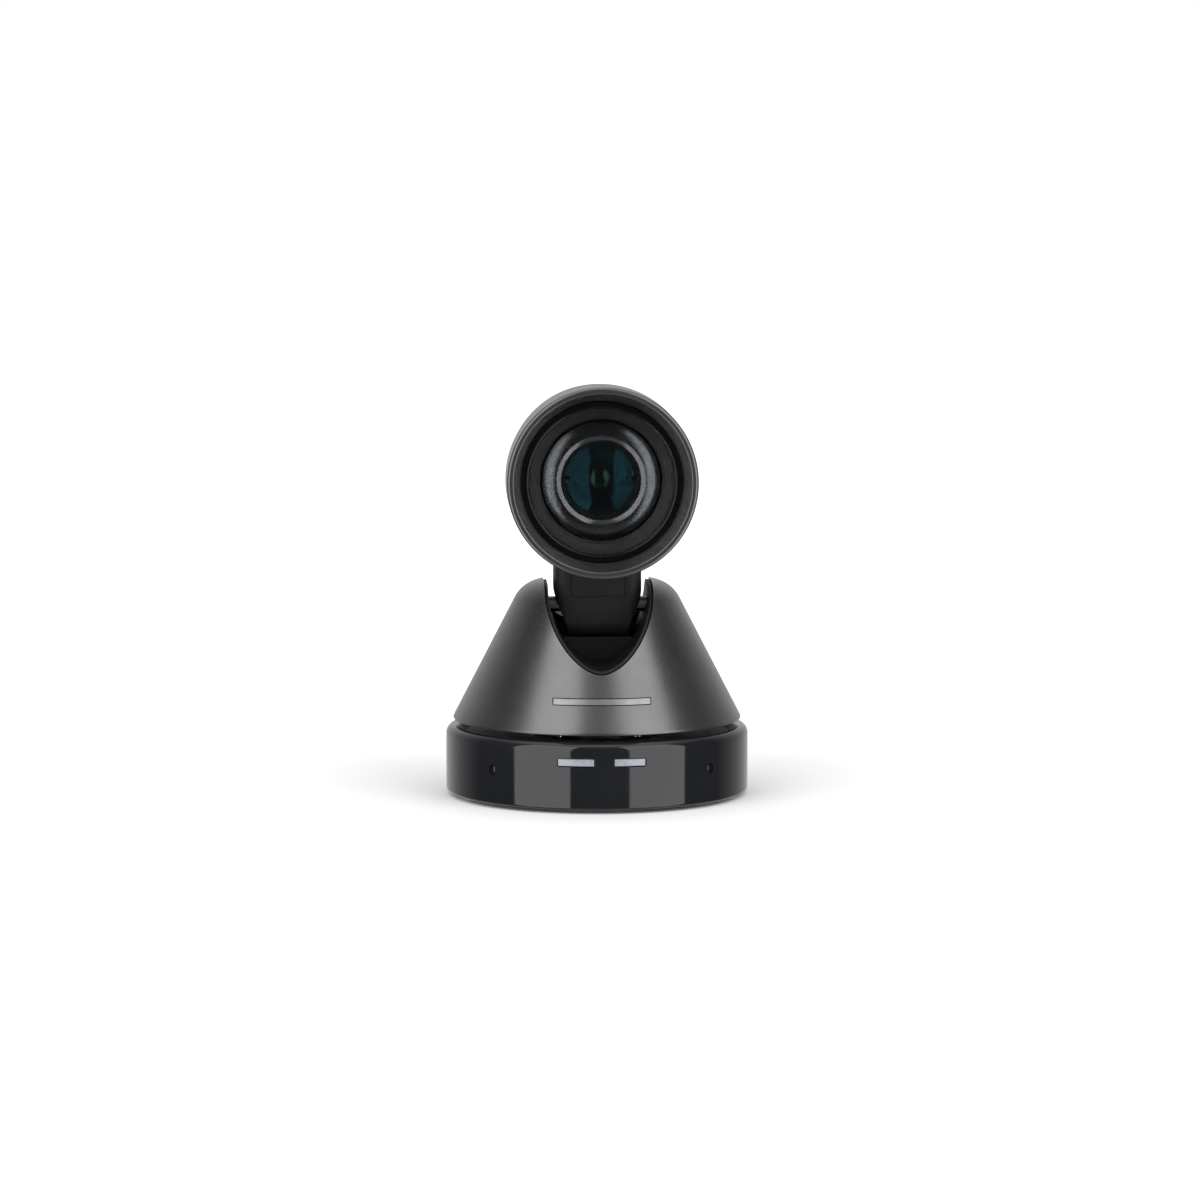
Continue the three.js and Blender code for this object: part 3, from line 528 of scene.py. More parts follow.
def circuit_group():
    """Copper runs and solder pads of a printed board: masks for the runs and the pads."""
    tree, given, made = group(
        "Printed circuit", [("Scale", FLOAT, 420.0)], [("Runs", FLOAT), ("Pads", FLOAT)]
    )
    place = object_place(tree)
    cells = wire(
        tree,
        "ShaderNodeTexVoronoi",
        {"Vector": place, "Scale": given.outputs["Scale"], "Randomness": 0.25},
        feature="F1",
        distance="CHEBYCHEV",
    )
    edges = wire(
        tree,
        "ShaderNodeTexVoronoi",
        {"Vector": place, "Scale": maths(tree, "MULTIPLY", given.outputs["Scale"], 0.6), "Randomness": 0.4},
        feature="DISTANCE_TO_EDGE",
    )
    tree.links.new(spread(tree, edges.outputs["Distance"], 0.06, 0.03), made.inputs["Runs"])
    tree.links.new(spread(tree, cells.outputs["Distance"], 0.18, 0.14), made.inputs["Pads"])
    return tree


EFFECTS = {}
MATERIALS = {}


def effect(tree, label, inputs):
    """A shader group placed in a material with its own values."""
    node = wire(tree, "ShaderNodeGroup", node_tree=EFFECTS[label])
    for key, value in inputs.items():
        node.inputs[key].default_value = value
    return node


def material(name, metallic=0.0, **shader_values):
    """A new material with its Principled shader, whose even values are set on its own sockets."""
    made = bpy.data.materials.new(name)
    made.use_nodes = True
    shader = made.node_tree.nodes["Principled BSDF"]
    shader.inputs["Metallic"].default_value = metallic
    for key, value in shader_values.items():
        shader.inputs[key.replace("_", " ")].default_value = value
    MATERIALS[name] = made
    return made.node_tree, shader


def opaque(values):
    return (*values, 1.0)


def drifting(tree, base, other, scale):
    """A colour that drifts towards another."""
    given = {"Colour": opaque(base), "Other": opaque(other), "Scale": scale}
    return effect(tree, "drift", given).outputs["Colour"]


def handled(tree, clean, marked, scale):
    """The roughness of a surface, from where it is clean to where it has marks."""
    given = {"Clean": clean, "Marked": marked, "Scale": scale}
    return effect(tree, "handling", given).outputs["Roughness"]


def bumped(tree, height, strength, depth=0.00001):
    """The normal of a surface with a height to bump by."""
    given = {"Strength": strength, "Distance": depth, "Height": height}
    return wire(tree, "ShaderNodeBump", given).outputs["Normal"]


def feed(tree, shader, sockets):
    """Joins sockets to a shader's inputs."""
    for label, socket in sockets.items():
        tree.links.new(socket, shader.inputs[label])


def surfaced(name, base, other, clean, marked, grain=4000.0, depth=0.00001, strength=0.2, scale=60.0, **more):
    """A material with drifting colour, handling marks and a grain bump."""
    tree, shader = material(name, **more)
    height = effect(tree, "grain", {"Scale": grain}).outputs["Height"]
    feed(tree, shader, {
        "Base Color": drifting(tree, base, other, scale * 1.5),
        "Roughness": handled(tree, clean, marked, scale),
        "Normal": bumped(tree, height, strength, depth),
    })


def scaled(values, factor):
    return tuple(min(1.0, value * factor) for value in values)


# ------------------------------------------------------------------ finishes
def make_effects():
    EFFECTS.update(
        grain=grain_group(),
        handling=handling_group(),
        drift=drift_group(),
        flake=flake_group(),
        lathe=lathe_group(),
        circuit=circuit_group(),
    )


def make_paint(finishes):
    """Satin metallic paint of the cone and the drum, with fine flake."""
    base = tuple(finishes.gunmetal)
    tree, shader = material("housing_grey", metallic=0.9, Coat_Roughness=0.32)
    flake = effect(tree, "flake", {"Scale": 6500.0}).outputs["Mask"]
    glint = spread(tree, flake, 0.9, 1.0, 0.0, 0.2)
    paint_colour = drifting(tree, base, scaled(base, 0.93), 70.0)
    height = effect(tree, "grain", {"Scale": 5200.0}).outputs["Height"]
    feed(tree, shader, {
        "Base Color": mixed_colour(tree, glint, paint_colour, (0.3, 0.3, 0.3, 1)),
        "Roughness": handled(tree, 0.27, 0.32, 45.0),
        "Normal": bumped(tree, height, 0.06),
    })


def make_plastics(finishes):
    gloss = tuple(finishes.gloss)
    matt = tuple(finishes.matt)
    surfaced("band_gloss", gloss, scaled(gloss, 1.25), 0.05, 0.1, grain=2500.0, strength=0.02, scale=35.0)
    surfaced(
        "matt_black",
        matt,
        scaled(matt, 1.4),
        0.5,
        0.62,
        grain=3600.0,
        depth=0.00003,
        strength=0.5,
        Specular_IOR_Level=0.3,
    )
    surfaced("connector_black", (0.013,) * 3, (0.02,) * 3, 0.42, 0.52, grain=4200.0, strength=0.3)
    surfaced("motor_black", (0.02, 0.02, 0.022), (0.03,) * 3, 0.38, 0.5, grain=3000.0, metallic=0.4)
    worn_rubber = (0.02, 0.02, 0.019)
    surfaced("rubber", (0.012,) * 3, worn_rubber, 0.8, 0.92, grain=2600.0, depth=0.00005, strength=0.6)
    surfaced("acetal", (0.78, 0.76, 0.7), (0.7, 0.68, 0.62), 0.4, 0.55, Subsurface_Weight=0.1)
    surfaced("ir_window", (0.004, 0.003, 0.004), (0.007, 0.003, 0.004), 0.06, 0.12, strength=0.02)
    surfaced("trim_gloss", (0.002,) * 3, (0.003,) * 3, 0.08, 0.12, grain=3500.0, strength=0.02)


def make_status():
    """Milky window with a dim lamp behind it."""
    tree, shader = material("status_white", Emission_Strength=0.16, Coat_Weight=0.4, Coat_Roughness=0.1)
    milk = drifting(tree, (0.25, 0.262, 0.29), (0.2, 0.212, 0.25), 600.0)
    feed(tree, shader, {
        "Base Color": milk,
        "Emission Color": milk,
        "Roughness": handled(tree, 0.25, 0.35, 200.0),
    })


def machined(name, base, clean, marked, across=(1, 0, 1), axis=(0, 0, 0), spacing=0.00025, strength=0.25):
    """A turned or milled metal: tool rings, handling marks and a little drift."""
    tree, shader = material(name, metallic=1.0)
    rings = effect(tree, "lathe", {"Centre": axis, "Across": across, "Spacing": spacing})
    feed(tree, shader, {
        "Base Color": drifting(tree, base, scaled(base, 0.86), 250.0),
        "Roughness": handled(tree, clean, marked, 180.0),
        "Normal": bumped(tree, rings.outputs["Height"], strength),
    })


def make_metals():
    machined("steel", (0.5, 0.5, 0.51), 0.28, 0.4, across=(1, 1, 0))
    machined("aluminium", (0.62, 0.63, 0.64), 0.34, 0.48, across=(1, 1, 0), spacing=0.0004)
    machined("brass", (0.62, 0.46, 0.2), 0.26, 0.4, across=(1, 1, 0))
    machined("port_metal", (0.55, 0.55, 0.56), 0.22, 0.34, across=(1, 0, 0), spacing=0.0003, strength=0.1)
    machined("name_bar_silver", (0.3, 0.3, 0.3), 0.34, 0.4, across=(0, 0, 1), spacing=0.00012, strength=0.3)
    machined("contact_gold", (0.75, 0.55, 0.22), 0.2, 0.3, spacing=0.0002, strength=0.1)
    lens_axis = (0, 0, HEAD_AXIS * MM)
    machined("lens_black", (0.1, 0.103, 0.108), 0.16, 0.2, axis=lens_axis, spacing=0.0003, strength=0.12)


def make_board():
    """Solder mask over copper runs, with tinned pads."""
    tree, shader = material("circuit_green")
    pattern = effect(tree, "circuit", {"Scale": 420.0})
    mask = drifting(tree, (0.012, 0.075, 0.035), (0.01, 0.06, 0.03), 120.0)
    runs = mixed_colour(tree, pattern.outputs["Runs"], mask, (0.025, 0.14, 0.06, 1))
    feed(tree, shader, {
        "Base Color": mixed_colour(tree, pattern.outputs["Pads"], runs, (0.55, 0.54, 0.5, 1)),
        "Metallic": pattern.outputs["Pads"],
        "Roughness": handled(tree, 0.3, 0.42, 120.0),
        "Normal": bumped(tree, pattern.outputs["Runs"], 0.4, 0.00003),
    })


def clear(name, ior, tint, marks):
    """Glass that lets lamps reach what is behind it. Marks: its roughness where clean and where not."""
    tree, shader = material(name, Transmission_Weight=1.0, IOR=ior, Specular_Tint=opaque(tint))
    shader.inputs["Base Color"].default_value = (0.97, 0.985, 0.98, 1)
    tree.links.new(handled(tree, *marks, 90.0), shader.inputs["Roughness"])
    through = wire(tree, "ShaderNodeBsdfTransparent")
    path = wire(tree, "ShaderNodeLightPath")
    mix = wire(
        tree,
        "ShaderNodeMixShader",
        {0: path.outputs["Is Shadow Ray"], 1: shader.outputs["BSDF"], 2: through.outputs["BSDF"]},
    )
    tree.links.new(mix.outputs["Shader"], tree.nodes["Material Output"].inputs["Surface"])


def coated(name, base, tint, clean):
    """A dark lens seen from outside, whose coating tints what it mirrors."""
    tree, shader = material(name, IOR=1.6, Specular_Tint=opaque(tint))
    feed(tree, shader, {
        "Base Color": drifting(tree, base, scaled(base, 0.6), 160.0),
        "Roughness": handled(tree, clean, clean + 0.03, 120.0),
    })


def make_glass(finishes):
    tint = tuple(finishes.coating)
    clear("front_glass", 1.35, (1, 1, 1), (0.0, 0.01))
    clear("coated_glass", 1.42, (0.7, 0.85, 1.0), (0.0, 0.01))
    coated("inner_lens", (0.0006, 0.0016, 0.002), tint, 0.08)
    coated("deep_lens", (0.001, 0.002, 0.0018), (0.2, 0.5, 0.35), 0.12)


def make_finishes(finishes):
    make_effects()
    make_paint(finishes)
    make_plastics(finishes)
    make_status()
    make_metals()
    make_board()
    make_glass(finishes)


# ------------------------------------------------------------------ the base
def infrared_place(side):
    """Where an infrared window's axis starts, the way it points, and the window's radius."""
    low, high = extent(f"ir_window_{side}")
    middle = (low + high) / 2
    outward = Vector((middle.x, middle.y, 0)).normalized()
    return Vector((0, 0, middle.z)), outward, (high.z - low.z) / 2


class PTZ_OT_base_ring(bpy.types.Operator):
    """Model the gloss ring with its lip, its rear opening and the holes in its front"""

    bl_idname = "ptz.base_ring"
    bl_label = "Base ring"

    def execute(self, context):
        base = context.scene.ptz_base
        inner = RING_RADIUS - base.wall / MM
        top, bottom = RING_HIGH.z, RING_LOW.z
        under_lip = top - base.lip / MM
        ring = turned(
            "base_ring_shell",
            rounded(
                [
                    (inner, bottom, 0.3),
                    (RING_RADIUS, bottom, base.foot_fillet / MM),
                    (RING_RADIUS, top, base.brow_fillet / MM),
                    (base.lip_hole / MM, top, 0.5),
                    (base.lip_hole / MM, under_lip, 0.3),
                    (inner, under_lip, 1.0),
                ]
            ),
            sides=SMOOTH,
        )
        holes = []
        clearance = 0.3
        for side in ("left", "right"):
            low, high = extent(f"status_light_{side}")
            holes.append(
                slab(
                    "status_hole",
                    (low.x - clearance, -RING_RADIUS - 2, low.z - clearance),
                    (high.x + clearance, -inner + 12, high.z + clearance),
                    fillet=0.8,
                )
            )
            foot, outward, pin = infrared_place(side)
            near, far = foot + outward * (inner - 3), foot + outward * (RING_RADIUS + 3)
            holes.append(rod("infrared_hole", pin + clearance, near, far))
        holes.append(
            slab(
                "rear_opening",
                (PANEL_LOW.x - clearance, 0, PLATE_HIGH.z + 1),
                (PANEL_HIGH.x + clearance, RING_RADIUS + 5, top - 5),
                fillet=1.2,
            )
        )
        cut(ring, *holes)
        tidy(ring)
        soften(ring, 0.25, steps=2, angle=50)
        dress(ring, "base", "base_ring", "band_gloss")
        return {"FINISHED"}


class PTZ_OT_ring_windows(bpy.types.Operator):
    """Model the two status lights and the two infrared windows in the ring's front"""

    bl_idname = "ptz.ring_windows"
    bl_label = "Ring windows"

    def execute(self, context):
        for side in ("left", "right"):
            low, high = extent(f"status_light_{side}")
            shell = turned(
                f"status_window_{side}",
                rounded(
                    [
                        (RING_RADIUS - 2.1, low.z, 0),
                        (RING_RADIUS - 0.15, low.z, 0.35),
                        (RING_RADIUS - 0.15, high.z, 0.35),
                        (RING_RADIUS - 2.1, high.z, 0),
                    ]
                ),
                sides=SMOOTH,
            )
            keep(shell, slab("span", (low.x, -RING_RADIUS - 2, low.z - 1), (high.x, -20, high.z + 1)))
            soften(tidy(shell), 0.3, steps=3, angle=60)
            dress(shell, "base", f"status_light_{side}", "status_white")
            self.infrared(side)
        return {"FINISHED"}

    def infrared(self, side):
        """A small domed window, turned about its own axis."""
        foot, outward, pin = infrared_place(side)
        reach = RING_RADIUS - 0.15
        dome = [(pin * math.cos(turn), reach - 0.5 + 0.5 * math.sin(turn)) for turn in quarter(6)]
        profile = [(0, reach - 2), (pin, reach - 2), *dome]
        window = turned(f"infrared_window_{side}", profile, sides=SMALL, closed=False)
        window.rotation_euler = outward.to_track_quat("Z", "Y").to_euler()
        window.location = (0, 0, foot.z * MM)
        dress(window, "base", f"ir_window_{side}", "ir_window")


def quarter(steps, first=0.0):
    """Angles from first to a right angle."""
    return [first + (math.pi / 2 - first) * step / steps for step in range(steps + 1)]


class PTZ_OT_underside(bpy.types.Operator):
    """Model the base plate with its vents and posts, the feet, the screws and the threaded tripod bush"""

    bl_idname = "ptz.underside"
    bl_label = "Underside"

    def execute(self, context):
        self.plate()
        self.feet()
        self.screws()
        self.bush()
        return {"FINISHED"}

    def plate(self):
        radius = PLATE_HIGH.x
        low, high = PLATE_LOW.z, PLATE_LOW.z + 2
        recess, bore = 9.2, 6.3  # radii of the bush's flange and sleeve, each with its gap
        plate = turned(
            "base_plate_pan",
            rounded(
                [
                    (recess, low, 0.2),
                    (radius, low, 0.4),
                    (radius, high, 0.3),
                    (bore, high, 0.2),
                    (bore, low + 0.9, 0),
                    (recess, low + 0.9, 0),
                ]
            ),
        )
        cutters = []
        vents, vent_start, vent_end, vent_half = 24, 22, 34, 0.9
        for turn in range(vents):
            near, far = (vent_start, -vent_half, low - 2), (vent_end, vent_half, high + 2)
            slot = slab("vent", near, far, fillet=0.8)
            slot.rotation_euler = (0, 0, math.tau * (turn + 0.5) / vents)
            cutters.append(settle(slot))
        near, far = 48.8, 49.8  # radii of the groove just inside the feet's circle
        groove = [(near, low - 0.5, 0), (far, low - 0.5, 0), (far, low + 0.5, 0.2), (near, low + 0.5, 0.2)]
        cutters.append(turned("groove", rounded(groove)))
        for index in range(4):
            place = centre(f"base_screw_{index + 1}")
            x, y = place.x, place.y
            cutters.append(rod("screw_hole", 1.7, (x, y, low - 2), (x, y, high + 2)))
        cut(plate, *cutters)
        posts = []
        for x in (-30, 30):
            for y in (-18, 18):
                posts.append(rod("post", 3, (x, y, high - 0.5), (x, y, PLATE_HIGH.z), fillet=0.3))
        fuse(plate, *posts)
        soften(tidy(plate), 0.2, steps=2, angle=50)
        dress(plate, "base", "base_plate", "matt_black")

    def set_out(self, first, name, node, look):
        """Moves a piece made on the axis to its first place and copies it to the other three."""
        start = centre(f"{node}_1")
        select_only(first)
        bpy.ops.transform.translate(value=(start.x * MM, start.y * MM, 0))
        settle(first)
        for index in (2, 3, 4):
            shift = centre(f"{node}_{index}") - start
            twin = copy_at(first, f"{name}_{index}", (shift.x, shift.y, 0))
            dress(twin, "base", f"{node}_{index}", look)
        dress(first, "base", f"{node}_1", look)

    def feet(self):
        low, high = extent("rubber_foot_1")
        radius = (high.x - low.x) / 2
        first = turned(
            "rubber_pad_1",
            rounded(
                [
                    (0, high.z, 0),
                    (radius - 0.3, high.z, 0.2),
                    (radius, low.z, 0.5),
                    (radius - 1.4, low.z, 0.15),
                    (radius - 1.6, low.z + 0.35, 0.1),
                    (radius - 2.2, low.z + 0.35, 0.1),
                    (radius - 2.4, low.z, 0.15),
                    (0, low.z, 0),
                ],
                closed=False,
            ),
            sides=64,
            closed=False,
        )
        self.set_out(first, "rubber_pad", "rubber_foot", "rubber")

    def screws(self):
        low, high = extent("base_screw_1")
        head = 2.6
        screw = turned(
            "plate_screw_1",
            rounded(
                [
                    (0, low.z, 0),
                    (head, low.z, 0.4),
                    (head, low.z + 1, 0.1),
                    (1.4, low.z + 1, 0.1),
                    (1.4, high.z - 0.6, 0.1),
                    (0.8, high.z, 0.1),
                    (0, high.z, 0),
                ],
                closed=False,
            ),
            sides=SMALL,
            closed=False,
        )
        for x, y in ((1.5, 0.32), (0.32, 1.5)):
            cut(screw, slab("recess", (-x, -y, low.z - 1), (x, y, low.z + 0.7)))
        self.set_out(screw, "plate_screw", "base_screw", "steel")

    def bush(self):
        """The bush's bore has thread ridges all the way up."""
        low, high = extent("tripod_bush")
        bore, root, pitch, top = 3.05, 3.45, 1.27, low.z + 8
        thread = []
        height = low.z + 0.6
        while height + pitch < top:
            thread += [(root, height), (bore, height + pitch * 0.4), (bore, height + pitch * 0.6)]
            height += pitch
        flange, sleeve = high.x, high.x - 2
        rim = [(root, low.z, 0), (flange, low.z, 0.3), (flange, low.z + 0.7, 0.1), (sleeve, low.z + 0.7, 0)]
        profile = [
            (0, top),
            (bore, top),
            *reversed(thread),
            (root + 0.3, low.z),
            *rounded(rim, closed=False)[1:],
            (sleeve, high.z - 0.3),
            (sleeve - 0.3, high.z),
            (0, high.z),
        ]
        bush = turned("tripod_thread_bush", profile, sides=64, closed=False)
        dress(bush, "base", "tripod_bush", "brass")


class PTZ_OT_rear_panel(bpy.types.Operator):
    """Model the rear panel and its five sockets with their contacts"""

    bl_idname = "ptz.rear_panel"
    bl_label = "Rear panel and sockets"

    def execute(self, context):
        self.panel()
        self.power()
        self.serial()
        self.usb()
        self.hdmi()
        self.network()
        return {"FINISHED"}

    def panel(self):
        panel = slab("rear_panel_plate", PANEL_LOW, PANEL_HIGH, fillet=0.3)
        windows = []
        for name in ("dc_jack", "serial_port", "usb_port", "hdmi_port", "lan_port"):
            low, high = extent(name)
            windows.append(
                slab(
                    "window",
                    (low.x - 0.3, PANEL_LOW.y - 1, low.z - 0.3),
                    (high.x + 0.3, PANEL_HIGH.y + 1, high.z + 0.3),
                )
            )
        cut(panel, *windows)
        soften(panel, 0.2, steps=2, angle=50)
        dress(panel, "base", "io_panel", "matt_black")

    def body(self, name, node, look, fillet=0.35):
        """A socket's outside, and the middle of its face."""
        low, high = extent(node)
        middle = (low + high) / 2
        return paint(slab(name, low, high, fillet=fillet), look), (middle.x, high.y, middle.z)

    def box(self, face, name, low, high, fillet=0):
        """A box in a socket, between two corners measured from the middle of its face."""
        near = [a + b for a, b in zip(face, low)]
        far = [a + b for a, b in zip(face, high)]
        return slab(name, near, far, fillet)

    def bar(self, face, name, radius, start, end, x=0, z=0, **more):
        """A rod in a socket, from one depth to another."""
        near = (face[0] + x, face[1] + start, face[2] + z)
        far = (face[0] + x, face[1] + end, face[2] + z)
        return rod(name, radius, near, far, **more)

    def ring(self, face, name, profile, start):
        """A ring in a socket, turned about the socket's axis, from one depth outwards."""
        ring = turned(name, profile, sides=SMALL)
        ring.rotation_euler = (-math.pi / 2, 0, 0)
        ring.location = (face[0] * MM, (face[1] + start) * MM, face[2] * MM)
        return settle(ring)

    def power(self):
        body, face = self.body("power_jack", "dc_jack", "connector_black")
        depth = 9
        mouth = self.bar(face, "mouth", 3.2, -depth, 1)
        flare = self.ring(face, "flare", [(3.2, 0), (3.8, 0.6), (3.8, 2), (3.2, 2)], -0.6)
        cut(body, mouth, flare)
        pin = self.bar(face, "pin", 1.0, -depth - 0.5, -1.5, fillet=0.3)
        profile = rounded([(2.75, 0, 0.1), (3.15, 0, 0.1), (3.15, 5, 0), (2.75, 5, 0)])
        sleeve = self.ring(face, "sleeve", profile, -7)
        parts = [paint(pin, "contact_gold"), paint(sleeve, "port_metal")]
        hand_over(join(body, *parts), "base", "dc_jack")

    def serial(self):
        """A round control socket: a metal sleeve and eight pins in an insulator."""
        body, face = self.body("control_socket", "serial_port", "connector_black")
        cut(body, self.bar(face, "mouth", 3.9, -6, 1))
        profile = rounded([(3.45, 0, 0.1), (3.85, 0, 0.1), (3.85, 5.9, 0.1), (3.45, 5.9, 0.1)])
        parts = [paint(self.ring(face, "sleeve", profile, -6), "port_metal")]
        key = self.box(face, "key", (-1, -6, 0.1), (1, -2.4, 1.1), 0.2)
        parts.append(paint(key, "connector_black"))
        rows = ((-2.1, (-1, 1)), (-0.6, (-2.2, -0.7, 0.7, 2.2)), (1.9, (-1.6, 1.6)))
        for z, places in rows:
            for x in places:
                pin = self.bar(face, "pin", 0.28, -6.2, -2.6, x, z, sides=12, fillet=0.1)
                parts.append(paint(pin, "contact_gold"))
        hand_over(join(body, *parts), "base", "serial_port")

    def usb(self):
        body, face = self.body("usb_socket", "usb_port", "port_metal", fillet=0.5)
        cut(body, self.box(face, "mouth", (-5.8, -10, -2.3), (5.8, 1, 2.3), 0.3))
        soften(body, 0.15, steps=2, angle=50)
        tongue = self.box(face, "tongue", (-5.2, -10.2, -0.1), (5.2, -1.2, 1.7), 0.25)
        parts = [paint(tongue, "connector_black")]
        for place in (-3.5, -1.2, 1.2, 3.5):
            x = face[0] + place
            low = (x - 0.5, face[1] - 9.5, face[2] - 0.25)
            high = (x + 0.5, face[1] - 2, face[2] + 0.1)
            parts.append(paint(slab("pad", low, high, 0.05), "contact_gold"))
        hand_over(join(body, *parts), "base", "usb_port")

    def hdmi(self):
        body, face = self.body("hdmi_socket", "hdmi_port", "port_metal", fillet=0.5)
        half, up, notch = 6.8, 2.3, 1.3
        corners = [(-half, up), (half, up), (half, -up + notch), (half - notch, -up)]
        corners += [(-half + notch, -up), (-half, -up + notch)]
        outline = [(face[0] + x, face[1] - 8, face[2] + z) for x, z in corners]
        cut(body, swept("mouth", outline, (0, 12, 0)))
        soften(body, 0.15, steps=2, angle=40)
        tongue = self.box(face, "tongue", (-5.4, -8.2, -0.5), (5.4, -1.2, 0.5), 0.15)
        parts = [paint(tongue, "connector_black")]
        for count in range(10):
            x = face[0] - 4.5 + count
            low = (x - 0.22, face[1] - 7.8, face[2] - 0.58)
            high = (x + 0.22, face[1] - 1.6, face[2] + 0.58)
            parts.append(paint(slab("pad", low, high), "contact_gold"))
        hand_over(join(body, *parts), "base", "hdmi_port")

    def network(self):
        body, face = self.body("network_socket", "lan_port", "port_metal", fillet=0.4)
        cut(body, self.box(face, "mouth", (-5.9, -11, -4.2), (5.9, 1, 4.2), 0.2))
        soften(body, 0.15, steps=2, angle=50)
        parts = []
        for side in (-1, 1):
            near, far = sorted((face[0] + side * 5.85, face[0] + side * 3.2))
            low, high = (near, face[1] - 10.9, face[2] - 4.15), (far, face[1] - 0.6, face[2] - 2.3)
            parts.append(paint(slab("latch_step", low, high, 0.15), "connector_black"))
            x = face[0] + side * 6.75
            low, high = (x - 0.7, face[1] - 2, face[2] + 4.2), (x + 0.7, face[1] + 0.05, face[2] + 5.6)
            parts.append(paint(slab("lamp", low, high, 0.3), "status_white"))
        bed = self.box(face, "bed", (-5.8, -10.9, 3.3), (5.8, -1, 4.15), 0.1)
        parts.append(paint(bed, "connector_black"))
        spring = ((-9.5, -0.6), (-9.5, -0.2), (-2.2, 3.5), (-2.2, 3.1))
        for count in range(8):
            x = face[0] - 3.5 + count
            run = [(x - 0.2, face[1] + y, face[2] + z) for y, z in spring]
            parts.append(paint(swept("contact", run, (0.4, 0, 0)), "contact_gold"))
        hand_over(join(body, *parts), "base", "lan_port")


# ------------------------------------------------------------------ the panning housing
def cone_corners(housing, inset=0.0):
    """Corners of the cone's outline, or of one the given distance inside it, from its foot to its crown."""
    foot, crown = CONE_LOW.z, CROWN
    slot_half = housing.slot_half / MM
    shoulder, shoulder_height = slot_half + 11.7, crown - 9
    start = foot + 1.4
    slope = (CONE_FOOT_RADIUS - shoulder) / (shoulder_height - start)
    side_inset = inset * math.hypot(1, slope)
    brow_fall = 0.055  # how far the crown falls for each millimetre from its middle

    def side(height):
        return CONE_FOOT_RADIUS - side_inset - slope * (height - start)

    top = crown - inset
    brow = (side(shoulder_height) - slope * (top - shoulder_height)) / (1 - slope * brow_fall)
    fillet = max(housing.shoulder / MM - inset, 2)
    return [
        (side(foot), foot, 1.1),
        (brow, top - brow_fall * brow, fillet),
        (0, top, 0),
    ]


def cone_skin(housing, inset=0.0):
    """The cone's outline with its shoulder rounded, or one the given distance inside it."""
    return rounded(cone_corners(housing, inset), closed=False, steps=14)


def slot_outline(housing, inset, drop, power, depth_at, steps=48):
    """Corners of the slot's section at one depth: straight sides above, a rounded bottom below."""
    half = housing.slot_half / MM - inset
    shoulder = CROWN - housing.slot_shoulder / MM
    depth = drop / MM - housing.slot_shoulder / MM - inset
    above = CROWN + 12
    outline = [(half, depth_at, above)]
    for step in range(steps + 1):
        turn = math.pi * step / steps
        across = math.copysign(abs(math.cos(turn)) ** (2 / power), math.cos(turn))
        down = max(math.sin(turn), 0.0) ** (2 / power)
        outline.append((half * across, depth_at, shoulder - depth * down))
    outline.append((-half, depth_at, above))
    return outline


FRONT_POWER = 1.75  # roundness of the slot's bottom in front
BACK_POWER = 3.0
BULKHEAD = -9.0  # the liner's wall behind the deep front part of the slot
POCKET = 15.0  # radius of the liner's pocket about the tilt axis


def front_slot(housing, inset, end):
    return swept(
        "front_slot",
        slot_outline(housing, inset, housing.slot_front, FRONT_POWER, -80),
        (0, end + 80, 0),
    )


def back_slot(housing, inset, start):
    return swept(
        "back_slot",
        slot_outline(housing, inset, housing.slot_back, BACK_POWER, start),
        (0, 80 - start, 0),
    )


class PTZ_OT_housing(bpy.types.Operator):
    """Model the cone with its rounded shoulders, its slot and the recess for the name bar"""

    bl_idname = "ptz.housing"
    bl_label = "Housing"

    def execute(self, context):
        housing = context.scene.ptz_housing
        wall = housing.wall / MM
        outer = cone_skin(housing)
        outer[0:1] = rounded(
            [(outer[0][0] - 3, CONE_LOW.z, 0), (outer[0][0], CONE_LOW.z, 1.2), (*outer[1], 0)], closed=False
        )[1:-1]
        inner = cone_skin(housing, wall)
        inner[0] = (inner[0][0], CONE_LOW.z)
        shell = turned("housing_cone", [*reversed(inner), *outer], sides=SMOOTH, closed=False)
        cut(shell, front_slot(housing, 0, -2), back_slot(housing, 0, -3), self.recess())
        tidy(shell, 0.05)
        soften(shell, housing.rim / MM, steps=3, angle=48)
        dress(shell, "pan_head", "pan_housing", "housing_grey", angle=28)
        return {"FINISHED"}

    def recess(self):
        low, high = extent("name_bar")
        clearance = 0.25
        return slab(
            "name_recess",
            (low.x - clearance, low.y - 6, low.z - clearance),
            (high.x + clearance, high.y, high.z + clearance),
            fillet=0.5,
        )


